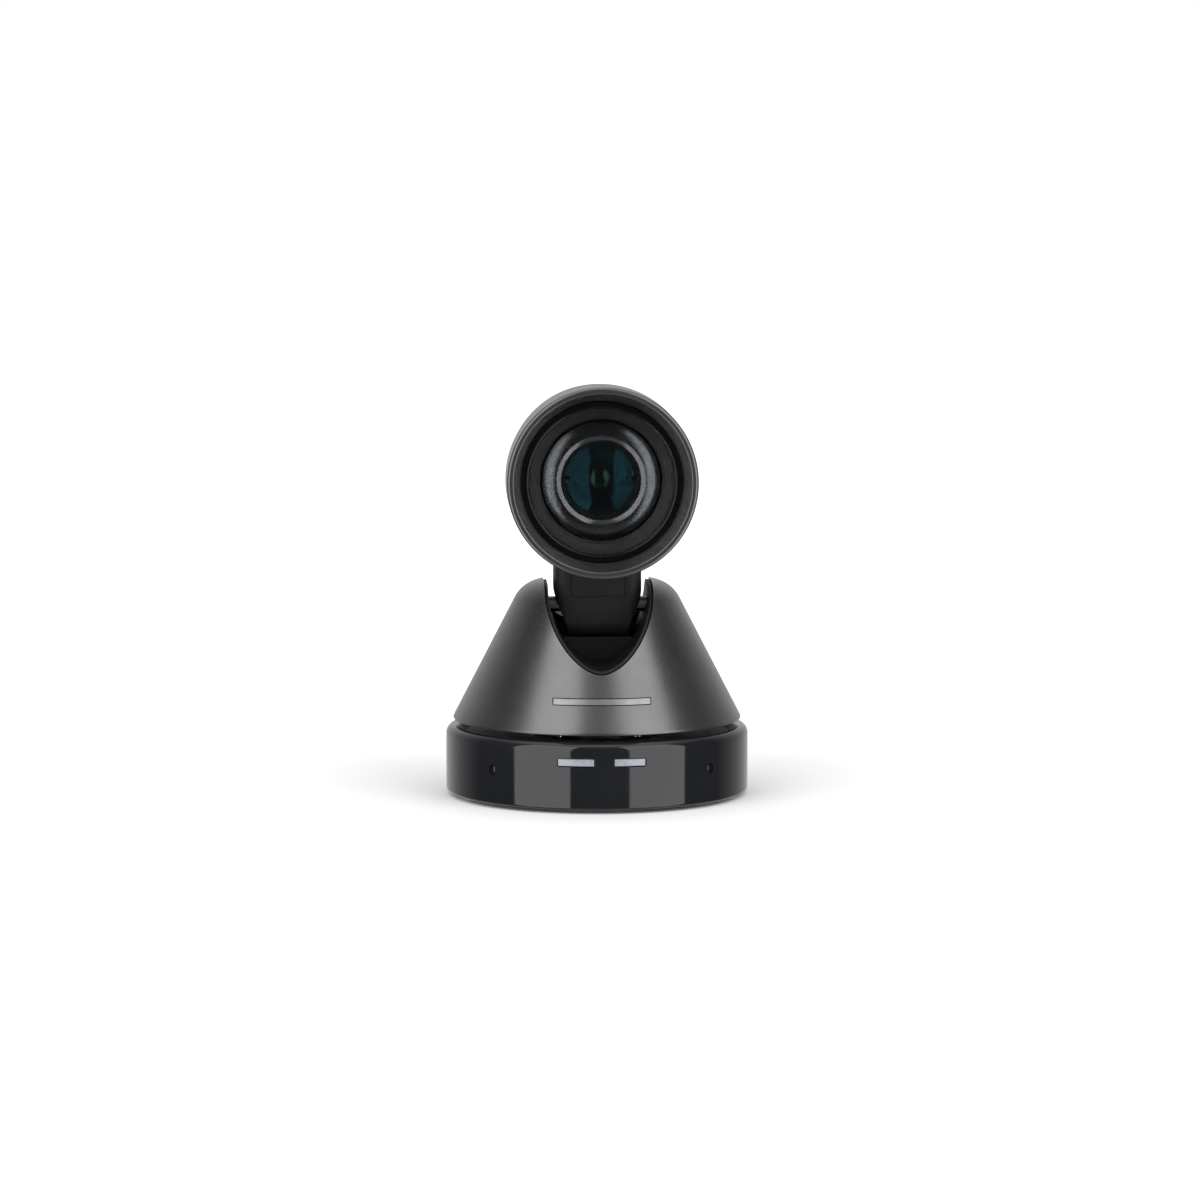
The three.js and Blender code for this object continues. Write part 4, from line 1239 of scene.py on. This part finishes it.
class PTZ_OT_slot_liner(bpy.types.Operator):
    """Model the black pocket inside the slot"""

    bl_idname = "ptz.slot_liner"
    bl_label = "Slot liner"

    def execute(self, context):
        housing = context.scene.ptz_housing
        gap, wall = housing.liner_inset / MM, housing.liner_wall / MM
        liner = front_slot(housing, gap, BULKHEAD + wall)
        liner.name = "slot_pocket"
        outer_pocket = keep(self.pocket(POCKET + wall), front_slot(housing, gap, 60))
        fuse(liner, outer_pocket, back_slot(housing, gap, BULKHEAD))
        skin = cone_skin(housing, 0.9)
        body = turned("cone_body", [(0, CONE_LOW.z), *skin], sides=SMOOTH, closed=False)
        keep(liner, body)
        inset = gap + wall
        inner_pocket = keep(self.pocket(POCKET), front_slot(housing, inset, 60))
        inner = fuse(
            front_slot(housing, inset, BULKHEAD), inner_pocket, back_slot(housing, inset, BULKHEAD - 0.5)
        )
        bore = SHAFT_HIGH.z - TILT_AXIS + 0.5
        shaft_hole = rod("shaft_hole", bore, (-30, 0, TILT_AXIS), (30, 0, TILT_AXIS))
        cut(liner, inner, shaft_hole)
        tidy(liner, 0.04)
        soften(liner, 0.3, steps=2, angle=50)
        dress(liner, "pan_head", "slot_liner", "matt_black")
        return {"FINISHED"}

    def pocket(self, radius):
        return rod("pocket", radius, (-BEYOND, 0, TILT_AXIS), (BEYOND, 0, TILT_AXIS), sides=96)


class PTZ_OT_name_bar(bpy.types.Operator):
    """Model the blank bar set into the cone's front"""

    bl_idname = "ptz.name_bar"
    bl_label = "Name bar"

    def execute(self, context):
        housing = context.scene.ptz_housing
        low, high = extent("name_bar")
        outer, inner = cone_skin(housing, 0.1), cone_skin(housing, 0.7)
        bar = turned("blank_name_bar", [*reversed(inner), *outer], sides=SMOOTH, closed=False)
        keep(bar, slab("span", (low.x, low.y - 6, low.z), (high.x, high.y + 6, high.z), fillet=0.35))
        soften(tidy(bar), 0.12, steps=2, angle=50)
        dress(bar, "pan_head", "name_bar", "name_bar_silver")
        return {"FINISHED"}


# ------------------------------------------------------------------ the tilting neck and the head
def waist_curve(half, steps=10):
    """The neck's edge, (half width, height above the tilt axis), drawn in smoothly below the shaft."""
    points = [(half, 40.0), (half, 7.0)]
    for step in range(1, steps + 1):
        along = step / steps
        ease = along * along * (3 - 2 * along)
        points.append((half * (1 - 0.354 * ease), 7.0 - 20.0 * along))
    return points


def drum_side(gap=0.0):
    """Corners of the drum's side from its seam to its front, or of one that stands off from it by a gap."""
    seam, front = -HEAD_HIGH.y, -HEAD_LOW.y - 26
    radius = HEAD_RADIUS + gap
    return [(radius - 2.9, seam, 0.35), (radius - 1.3, seam + 20, 60), (radius, front, 60)]


class PTZ_OT_neck(bpy.types.Operator):
    """Model the neck between the housing and the drum"""

    bl_idname = "ptz.neck"
    bl_label = "Neck"

    def execute(self, context):
        half, depth = ARM_HIGH.x, ARM_HIGH.y
        top, bottom = HEAD_AXIS - 12, TILT_AXIS - BEYOND
        neck = slab("tilt_neck", (-half, -depth, bottom), (half, depth, top))
        self.round_corners(neck)
        edge = waist_curve(half)
        right = [(x, -BEYOND, TILT_AXIS + height) for x, height in edge]
        left = [(-x, y, z) for x, y, z in reversed(right)]
        keep(neck, swept("waist", right + left, (0, 2 * BEYOND, 0)))
        above = slab("above", (-BEYOND, -depth, TILT_AXIS), (BEYOND, depth, top))
        outline = rounded(
            [
                (-depth, TILT_AXIS + 1, 0),
                (depth, TILT_AXIS + 1, 0),
                (depth, ARM_LOW.z, 7),
                (-depth, ARM_LOW.z, 7),
            ],
            steps=12,
        )
        hub = swept("hub", [(-BEYOND, y, z) for y, z in outline], (2 * BEYOND, 0, 0))
        keep(neck, fuse(above, hub))
        side = rounded(drum_side(0.3), closed=False)
        saddle = on_head(
            turned("saddle", [(0, side[0][1]), *side, (side[-1][0], 80), (0, 80)], sides=SMOOTH, closed=False)
        )
        bore = SHAFT_HIGH.z - TILT_AXIS + 0.3
        shaft = rod("shaft", bore, (-BEYOND, 0, TILT_AXIS), (BEYOND, 0, TILT_AXIS))
        cut(neck, saddle, shaft, *self.panel_grooves(depth))
        tidy(neck, 0.03)
        soften(neck, 0.4, steps=3, angle=45)
        dress(neck, "camera_head", "tilt_arm", "matt_black")
        return {"FINISHED"}

    def round_corners(self, neck):
        """Bevels the four upright edges."""
        for edge in neck.data.edges:
            first, second = (neck.data.vertices[index].co for index in edge.vertices)
            edge.select = abs(first.z - second.z) > 10 * MM
        for thing in (*neck.data.vertices, *neck.data.polygons):
            thing.select = False
        select_only(neck)
        bpy.ops.object.mode_set(mode="EDIT")
        bpy.ops.mesh.select_mode(type="EDGE")
        bpy.ops.mesh.bevel(offset=5 * MM, segments=10, affect="EDGES")
        bpy.ops.mesh.select_mode(type="VERT")
        bpy.ops.object.mode_set(mode="OBJECT")

    def panel_grooves(self, depth):
        """Shut lines of the cover plate on the neck's front and back."""
        grooves = []
        reach = 10.4
        for side in (-1, 1):
            near, far = sorted((side * (depth - 0.35), side * (depth + 2)))
            for x in (-reach, reach):
                low, high = (x - 0.2, near, TILT_AXIS + 4), (x + 0.2, far, HEAD_AXIS - 20)
                grooves.append(slab("groove", low, high))
            grooves.append(slab("groove", (-reach, near, TILT_AXIS + 3.8), (reach, far, TILT_AXIS + 4.2)))
        return grooves


class PTZ_OT_head_shell(bpy.types.Operator):
    """Model the drum with its funnel-shaped front lip"""

    bl_idname = "ptz.head_shell"
    bl_label = "Head shell"

    def execute(self, context):
        head = context.scene.ptz_head
        rim, seam = -HEAD_LOW.y, -HEAD_HIGH.y
        trim = head.trim_outer / MM + 0.3
        seat = -extent("front_glass")[0].y + 0.3
        shell = turned(
            "head_drum",
            rounded(
                [
                    *drum_side(),
                    (HEAD_RADIUS - 0.2, rim, head.lip_fillet / MM),
                    (HEAD_RADIUS - 2.7, rim, 0.5),
                    (trim, seat + 3, 0.8),
                    (trim, seat, 0.1),
                    (HEAD_RADIUS - 2.2, seat, 0.2),
                    (HEAD_RADIUS - 2.2, rim - 26, 0),
                    (HEAD_RADIUS - 5.1, seam, 0.3),
                ],
                steps=7,
            ),
            sides=SMOOTH,
        )
        dress(on_head(shell), "camera_head", "head_shell", "housing_grey")
        return {"FINISHED"}


class PTZ_OT_rear_cap(bpy.types.Operator):
    """Model the domed back of the drum"""

    bl_idname = "ptz.rear_cap"
    bl_label = "Rear cap"

    def execute(self, context):
        seam, back = -CAP_LOW.y, -CAP_HIGH.y
        radius = CAP_HIGH.x
        wall = 2.1
        outer = self.dome(radius, seam, seam - back)
        inner = self.dome(radius - wall, seam, seam - back - wall)
        cap = turned("rear_dome", [*reversed(inner), *outer], sides=SMOOTH, closed=False)
        soften(cap, 0.3, steps=3, angle=60)
        dress(on_head(cap), "camera_head", "head_rear_cap", "housing_grey")
        return {"FINISHED"}

    def dome(self, radius, seam, depth, power=2.3, steps=20):
        """A quarter of a superellipse from the seam to the pole."""
        points = []
        for turn in quarter(steps):
            across = max(math.cos(turn), 0.0) ** (2 / power)
            back = math.sin(turn) ** (2 / power)
            points.append((radius * across, seam - depth * back))
        return points


class PTZ_OT_window(bpy.types.Operator):
    """Model the flat window and the black ring round it"""

    bl_idname = "ptz.window"
    bl_label = "Front window"

    def execute(self, context):
        head = context.scene.ptz_head
        low, high = extent("front_glass")
        back, front = -high.y, -low.y
        radius = head.glass_radius / MM
        pane = turned(
            "front_window",
            rounded(
                [(0, back, 0), (radius, back, 0.2), (radius, front, 0.2), (0, front, 0)], closed=False
            ),
            closed=False,
        )
        dress(on_head(pane), "camera_head", "front_glass", "front_glass")
        low, high = extent("front_trim_ring")
        seat, crest = -high.y, -low.y
        inner, outer = head.trim_inner / MM, head.trim_outer / MM
        ring = turned(
            "window_ring",
            rounded(
                [
                    (inner, seat, 0.15),
                    (outer, seat, 0.15),
                    (outer, crest, 0.3),
                    (inner + 0.5, crest, 0.4),
                    (inner, crest - 1.2, 0.2),
                ]
            ),
            sides=SMOOTH,
        )
        dress(on_head(ring), "camera_head", "front_trim_ring", "trim_gloss")
        return {"FINISHED"}


def inward(radius, steps):
    """Radii from an edge to the middle."""
    return [radius * (1 - step / steps) for step in range(steps + 1)]


class PTZ_OT_lens(bpy.types.Operator):
    """Model the baffle, the barrel with its rim, the first lens and the two moving lens groups"""

    bl_idname = "ptz.lens"
    bl_label = "Lens"

    def execute(self, context):
        head = context.scene.ptz_head
        self.baffle(head)
        self.barrel(head)
        self.front_lens(head)
        self.moving_group("zoom_group", "zoom_lens_group", "zoom_lens", 9.2, 25.0)
        self.moving_group("focus_group", "focus_lens_group", "focus_lens", 6.0, 24.0)
        self.guide_rods()
        return {"FINISHED"}

    def baffle(self, head):
        """A funnel behind the window, with steps that trap stray light."""
        low, high = extent("lens_baffle")
        front, back = -low.y, -high.y
        flange = head.glass_radius / MM
        mouth, throat = head.trim_inner / MM - 0.2, head.barrel / MM + 0.6
        collar, ledge = throat + 1.0, front - 3.2
        steps = 5
        profile = [(flange, front - 2), (flange, front), (mouth, front)]
        for step in range(1, steps + 1):
            share = step / steps
            radius = mouth + (collar - mouth) * share
            height = front + (ledge - front) * share
            rise = (front - ledge) / steps
            profile += [(radius, height + rise * 0.6), (radius, height)]
        profile += [(throat, ledge - 1), (throat, back)]
        profile += [(throat + 1.4, back), (flange - 3, front - 2)]
        baffle = turned("baffle_funnel", profile, sides=160)
        soften(baffle, 0.12, steps=2, angle=50)
        dress(on_head(baffle), "camera_head", "lens_baffle", "matt_black")

    def barrel(self, head):
        """The barrel, whose front is a smooth rounded rim round the first lens."""
        low, high = extent("lens_barrel")
        front, back = -low.y, -high.y
        radius, seat = head.barrel / MM, head.front_lens / MM + 0.3
        seat_back = front - 7.8
        bore = seat - 1.6
        crest, curve = 16.9, 23.0
        lean = 3.2  # millimetres from the rim's crest to the middle of its curve
        nose = []
        for step in range(17):
            across = (radius - 0.9 - crest) * (1 - step / 16)
            fall = math.sqrt(curve**2 - lean**2) - math.sqrt(curve**2 - (lean + across) ** 2)
            nose.append((crest + across, front - fall))
        grooves = []
        for ring in range(5):
            height = back + 6 + ring * 4.5
            grooves += [
                (radius, height, 0.1),
                (radius - 0.5, height + 0.3, 0.1),
                (radius - 0.5, height + 1.2, 0.1),
                (radius, height + 1.5, 0.1),
            ]
        threads = []
        for ring in range(3):
            height = front - 2.6 - ring * 0.9
            threads += [(seat, height), (seat + 0.3, height - 0.25), (seat, height - 0.5)]
        edge = [(radius, front - 4, 0), (radius, nose[0][1] - 0.3, 0.7), (*nose[0], 0.4), (*nose[1], 0)]
        profile = [
            (radius, back),
            *rounded([(radius, back, 0), *grooves, (radius, front - 4, 0)], closed=False, steps=2)[1:-1],
            *rounded(edge, closed=False)[1:-1],
            *nose[1:],
            (seat + 0.2, front - 0.75),
            (seat, front - 1.0),
            *threads,
            (seat, seat_back),
            (bore, seat_back),
            (bore, back + 2),
            (9, back + 2),
            (9, back),
        ]
        barrel = turned("lens_tube", profile, sides=160)
        dress(on_head(barrel), "camera_head", "lens_barrel", "lens_black")

    def front_lens(self, head):
        """A shallow coated dome."""
        low, high = extent("front_element")
        back, crest = -high.y, -low.y
        radius = head.front_lens / MM
        curve = 85.0
        sag = curve - math.sqrt(curve**2 - radius**2)
        dome = self.cap(radius, curve, crest, 24)
        profile = [(0, back), (radius, back), (radius, crest - sag - 0.1), *dome]
        lens = turned("front_lens_dome", profile, sides=160, closed=False)
        dress(on_head(lens), "camera_head", "front_element", "coated_glass")

    def cap(self, radius, curve, crest, steps):
        """Points of a spherical cap from its edge to its pole."""
        return [(here, crest - curve + math.sqrt(curve**2 - here**2)) for here in inward(radius, steps)]

    def dish(self, radius, curve, edge, steps=20):
        """Points of a hollow spherical face from its edge to its middle."""
        points = []
        for here in inward(radius, steps):
            points.append((here, edge - math.sqrt(curve**2 - here**2) + math.sqrt(curve**2 - radius**2)))
        return points

    def moving_group(self, body, node, name, lens_radius, curve):
        """A funnel-faced holder with a hollow lens and a small domed one in the middle of it."""
        low, high = extent(node)
        back, front = -high.y, -low.y
        radius = high.x
        edge = front - 1.3
        holder = turned(
            f"{name}_holder",
            rounded(
                [
                    (lens_radius + 0.1, back, 0.2),
                    (radius, back, 0.3),
                    (radius, front, 0.2),
                    (radius - 0.4, front, 0.1),
                    (lens_radius + 0.1, edge + 0.1, 0),
                ]
            ),
            sides=128,
        )
        holes = []
        for side in ("left", "right"):
            near, far = extent(f"guide_rod_{side}")
            x, bore = (near.x + far.x) / 2, (far.x - near.x) / 2 + 0.3
            holes.append(rod("hole", bore, (x, 0, back - 2), (x, 0, front + 2), sides=32))
        cut(holder, *holes)
        face = self.dish(lens_radius, curve, edge)
        lens = turned(name, [(0, back + 0.4), (lens_radius, back + 0.4), *face], sides=128, closed=False)
        dome = self.cap(3.6, 8.5, face[-1][1] + 1.0, 14)
        eye = turned(f"{name}_eye", [(0, back + 0.6), (3.6, back + 0.6), *dome], sides=64, closed=False)
        for part, look in ((holder, "inner_lens"), (lens, "inner_lens"), (eye, "deep_lens")):
            paint(part, look)
        hand_over(on_head(join(holder, lens, eye)), body, node)

    def guide_rods(self):
        for side in ("left", "right"):
            low, high = extent(f"guide_rod_{side}")
            x, z, radius = (low.x + high.x) / 2, (low.z + high.z) / 2, (high.x - low.x) / 2
            bar = rod(f"slide_rod_{side}", radius, (x, low.y, z), (x, high.y, z), sides=32, fillet=0.2)
            # Painted shade: the guide rods get the matt black plastic instead of bare metal, so they read
            # dark and without highlights inside the lens.
            dress(bar, "camera_head", f"guide_rod_{side}", "matt_black")


# ------------------------------------------------------------------ the works inside, and the stage
class PTZ_OT_works(bpy.types.Operator):
    """Give the frame's own pieces that still show their finishes"""

    bl_idname = "ptz.works"
    bl_label = "Works inside"

    def execute(self, context):
        slots = {row["node"]: row["material_slot"] for row in frame["record"]["subparts"]}
        for name, node in frame["nodes"].items():
            if node.hide_render:
                continue
            for slot in node.material_slots:
                slot.material = MATERIALS[slots[name]]
        return {"FINISHED"}


class StageSettings(bpy.types.PropertyGroup):
    """Where the camera stands, and the strength of the light"""

    distance: length("Camera distance", "From the pan axis to the camera", 1500)
    eye_height: length("Eye height", "Height of the camera above the floor", 228)
    aim_height: length("Aim height", "Height on the pan axis that the camera looks at", 75.4)
    aim_side: length("Aim to the right", "How far right of the pan axis the camera looks", 1.2)
    bearing: bpy.props.FloatProperty(
        name="Bearing",
        description="Angle of the camera to the left of straight ahead",
        default=math.radians(2.3),
        subtype="ANGLE",
        unit="ROTATION",
    )
    focal: bpy.props.FloatProperty(
        name="Focal length", description="Lens on a 36 mm wide sensor, in millimetres", default=115.9
    )
    panel_power: bpy.props.FloatProperty(
        name="Panel power", description="Power of each tall light panel", default=21.0, unit="POWER"
    )
    sky: bpy.props.FloatProperty(name="Sky", description="Strength of the light from all round", default=0.85)


class PTZ_OT_stage(bpy.types.Operator):
    """Set up the pale floor, the two tall light panels, the sky and the camera"""

    bl_idname = "ptz.stage"
    bl_label = "Stage"

    def execute(self, context):
        stage = context.scene.ptz_stage
        self.floor()
        for side in (-1, 1):
            self.panel(side, stage.panel_power)
        self.sky(context.scene, stage.sky)
        self.camera(context.scene, stage)
        context.scene.view_settings.view_transform = "Standard"
        return {"FINISHED"}

    def floor(self):
        deselect()
        bpy.ops.mesh.primitive_plane_add(size=14, location=(0, 0, 0))
        floor = bpy.context.object
        floor.name = "studio_floor"
        floor.visible_glossy = False
        floor.visible_transmission = False
        made = bpy.data.materials.new("pale_floor")
        made.use_nodes = True
        tree = made.node_tree
        shader = tree.nodes["Principled BSDF"]
        shader.inputs["Roughness"].default_value = 0.9
        shade = mixed_colour(tree, noise(tree, 1.5), (0.93, 0.93, 0.93, 1), (0.9, 0.9, 0.9, 1))
        tree.links.new(shade, shader.inputs["Base Color"])
        # Painted light and shade: the floor glows, not at all within 7 cm of the pan axis and up to a
        # strength of 0.45 beyond 40 cm, so it reads white far out and dimmer round the object, where the cast
        # shadow is left to show.
        place = object_place(tree)
        away = wire(tree, "ShaderNodeVectorMath", {0: place}, operation="LENGTH").outputs["Value"]
        tree.links.new(spread(tree, away, 0.07, 0.4, 0.0, 0.45), shader.inputs["Emission Strength"])
        shader.inputs["Emission Color"].default_value = (1, 1, 1, 1)
        floor.data.materials.append(made)

    def panel(self, side, power):
        """A tall panel in front of the camera's side, turned to face the object."""
        bearing = math.radians(44)
        reach = 1.25
        place = Vector((side * reach * math.sin(bearing), -reach * math.cos(bearing), 0.22))
        deselect()
        bpy.ops.object.light_add(type="AREA", location=place)
        light = bpy.context.object
        light.name = "panel_right" if side > 0 else "panel_left"
        light.data.shape = "RECTANGLE"
        light.data.size = 1.05
        light.data.size_y = 3.0
        light.data.energy = power
        light.rotation_euler = (Vector((0, 0, 0.1)) - place).to_track_quat("-Z", "Y").to_euler()
        light.visible_camera = False

    def sky(self, scene, strength):
        """White where it is seen. In mirrored light it is dark in front and bright behind the object."""
        world = bpy.data.worlds.new("studio")
        scene.world = world
        world.use_nodes = True
        world.cycles.sampling_method = "NONE"
        tree = world.node_tree
        background = tree.nodes["Background"]
        place = wire(tree, "ShaderNodeTexCoord").outputs["Generated"]
        axes = wire(tree, "ShaderNodeSeparateXYZ", {0: place})
        behind = spread(tree, axes.outputs["Y"], 0.2, 0.85, 0.035, 0.66)
        above = spread(tree, axes.outputs["Z"], 0.62, 0.8, 0.0, 0.45)
        zenith = spread(tree, axes.outputs["Z"], 0.8, 0.97, 0.0, 1.0)
        below = spread(tree, axes.outputs["Z"], -0.3, -0.65, 0.0, 0.4)
        upper = maths(tree, "ADD", above, zenith)
        mirrored = maths(tree, "MAXIMUM", behind, maths(tree, "MAXIMUM", upper, below))
        path = wire(tree, "ShaderNodeLightPath")
        plain = maths(tree, "MAXIMUM", path.outputs["Is Camera Ray"], path.outputs["Is Diffuse Ray"])
        seen = mixed(tree, path.outputs["Is Camera Ray"], strength, 1.0)
        tree.links.new(mixed(tree, plain, mirrored, seen), background.inputs["Strength"])
        background.inputs["Color"].default_value = (1, 1, 1, 1)

    def camera(self, scene, stage):
        place = Vector(
            (
                -stage.distance * math.sin(stage.bearing),
                -stage.distance * math.cos(stage.bearing),
                stage.eye_height,
            )
        )
        deselect()
        bpy.ops.object.camera_add(location=place)
        camera = bpy.context.object
        camera.name = "camera"
        aim = Vector((stage.aim_side, 0, stage.aim_height))
        camera.rotation_euler = (aim - place).to_track_quat("-Z", "Y").to_euler()
        camera.data.sensor_width = 36
        camera.data.lens = stage.focal
        camera.data.clip_end = 50
        scene.camera = camera


class PTZ_PT_sidebar(bpy.types.Panel):
    """Lists the camera's pieces, each with the button that models it"""

    bl_idname = "PTZ_PT_sidebar"
    bl_label = "PTZ camera"
    bl_space_type = "VIEW_3D"
    bl_region_type = "UI"
    bl_category = "PTZ camera"

    def draw(self, context):
        for name, settings in SETTINGS.items():
            box = self.layout.box()
            for label in settings.__annotations__:
                box.prop(getattr(context.scene, name), label)
        for piece in PIECES:
            self.layout.operator(piece.bl_idname)


SETTINGS = {
    "ptz_base": BaseSizes,
    "ptz_housing": HousingSizes,
    "ptz_head": HeadSizes,
    "ptz_finishes": Finishes,
    "ptz_stage": StageSettings,
}
PIECES = (
    PTZ_OT_stage,
    PTZ_OT_base_ring,
    PTZ_OT_ring_windows,
    PTZ_OT_underside,
    PTZ_OT_rear_panel,
    PTZ_OT_housing,
    PTZ_OT_slot_liner,
    PTZ_OT_name_bar,
    PTZ_OT_neck,
    PTZ_OT_head_shell,
    PTZ_OT_rear_cap,
    PTZ_OT_window,
    PTZ_OT_lens,
    PTZ_OT_works,
)


def register():
    for made in (*SETTINGS.values(), *PIECES, PTZ_PT_sidebar):
        bpy.utils.register_class(made)
    for name, settings in SETTINGS.items():
        setattr(bpy.types.Scene, name, bpy.props.PointerProperty(type=settings))


def unregister():
    for name in SETTINGS:
        delattr(bpy.types.Scene, name)
    for made in reversed((*SETTINGS.values(), *PIECES, PTZ_PT_sidebar)):
        bpy.utils.unregister_class(made)


def corners(box):
    """A box as plain lists."""
    return [list(map(float, corner)) for corner in box]


def main():
    register()
    make_finishes(bpy.context.scene.ptz_finishes)
    for piece in PIECES:
        family, name = piece.bl_idname.split(".")
        getattr(getattr(bpy.ops, family), name)()


if __name__ == "__main__":
    main()
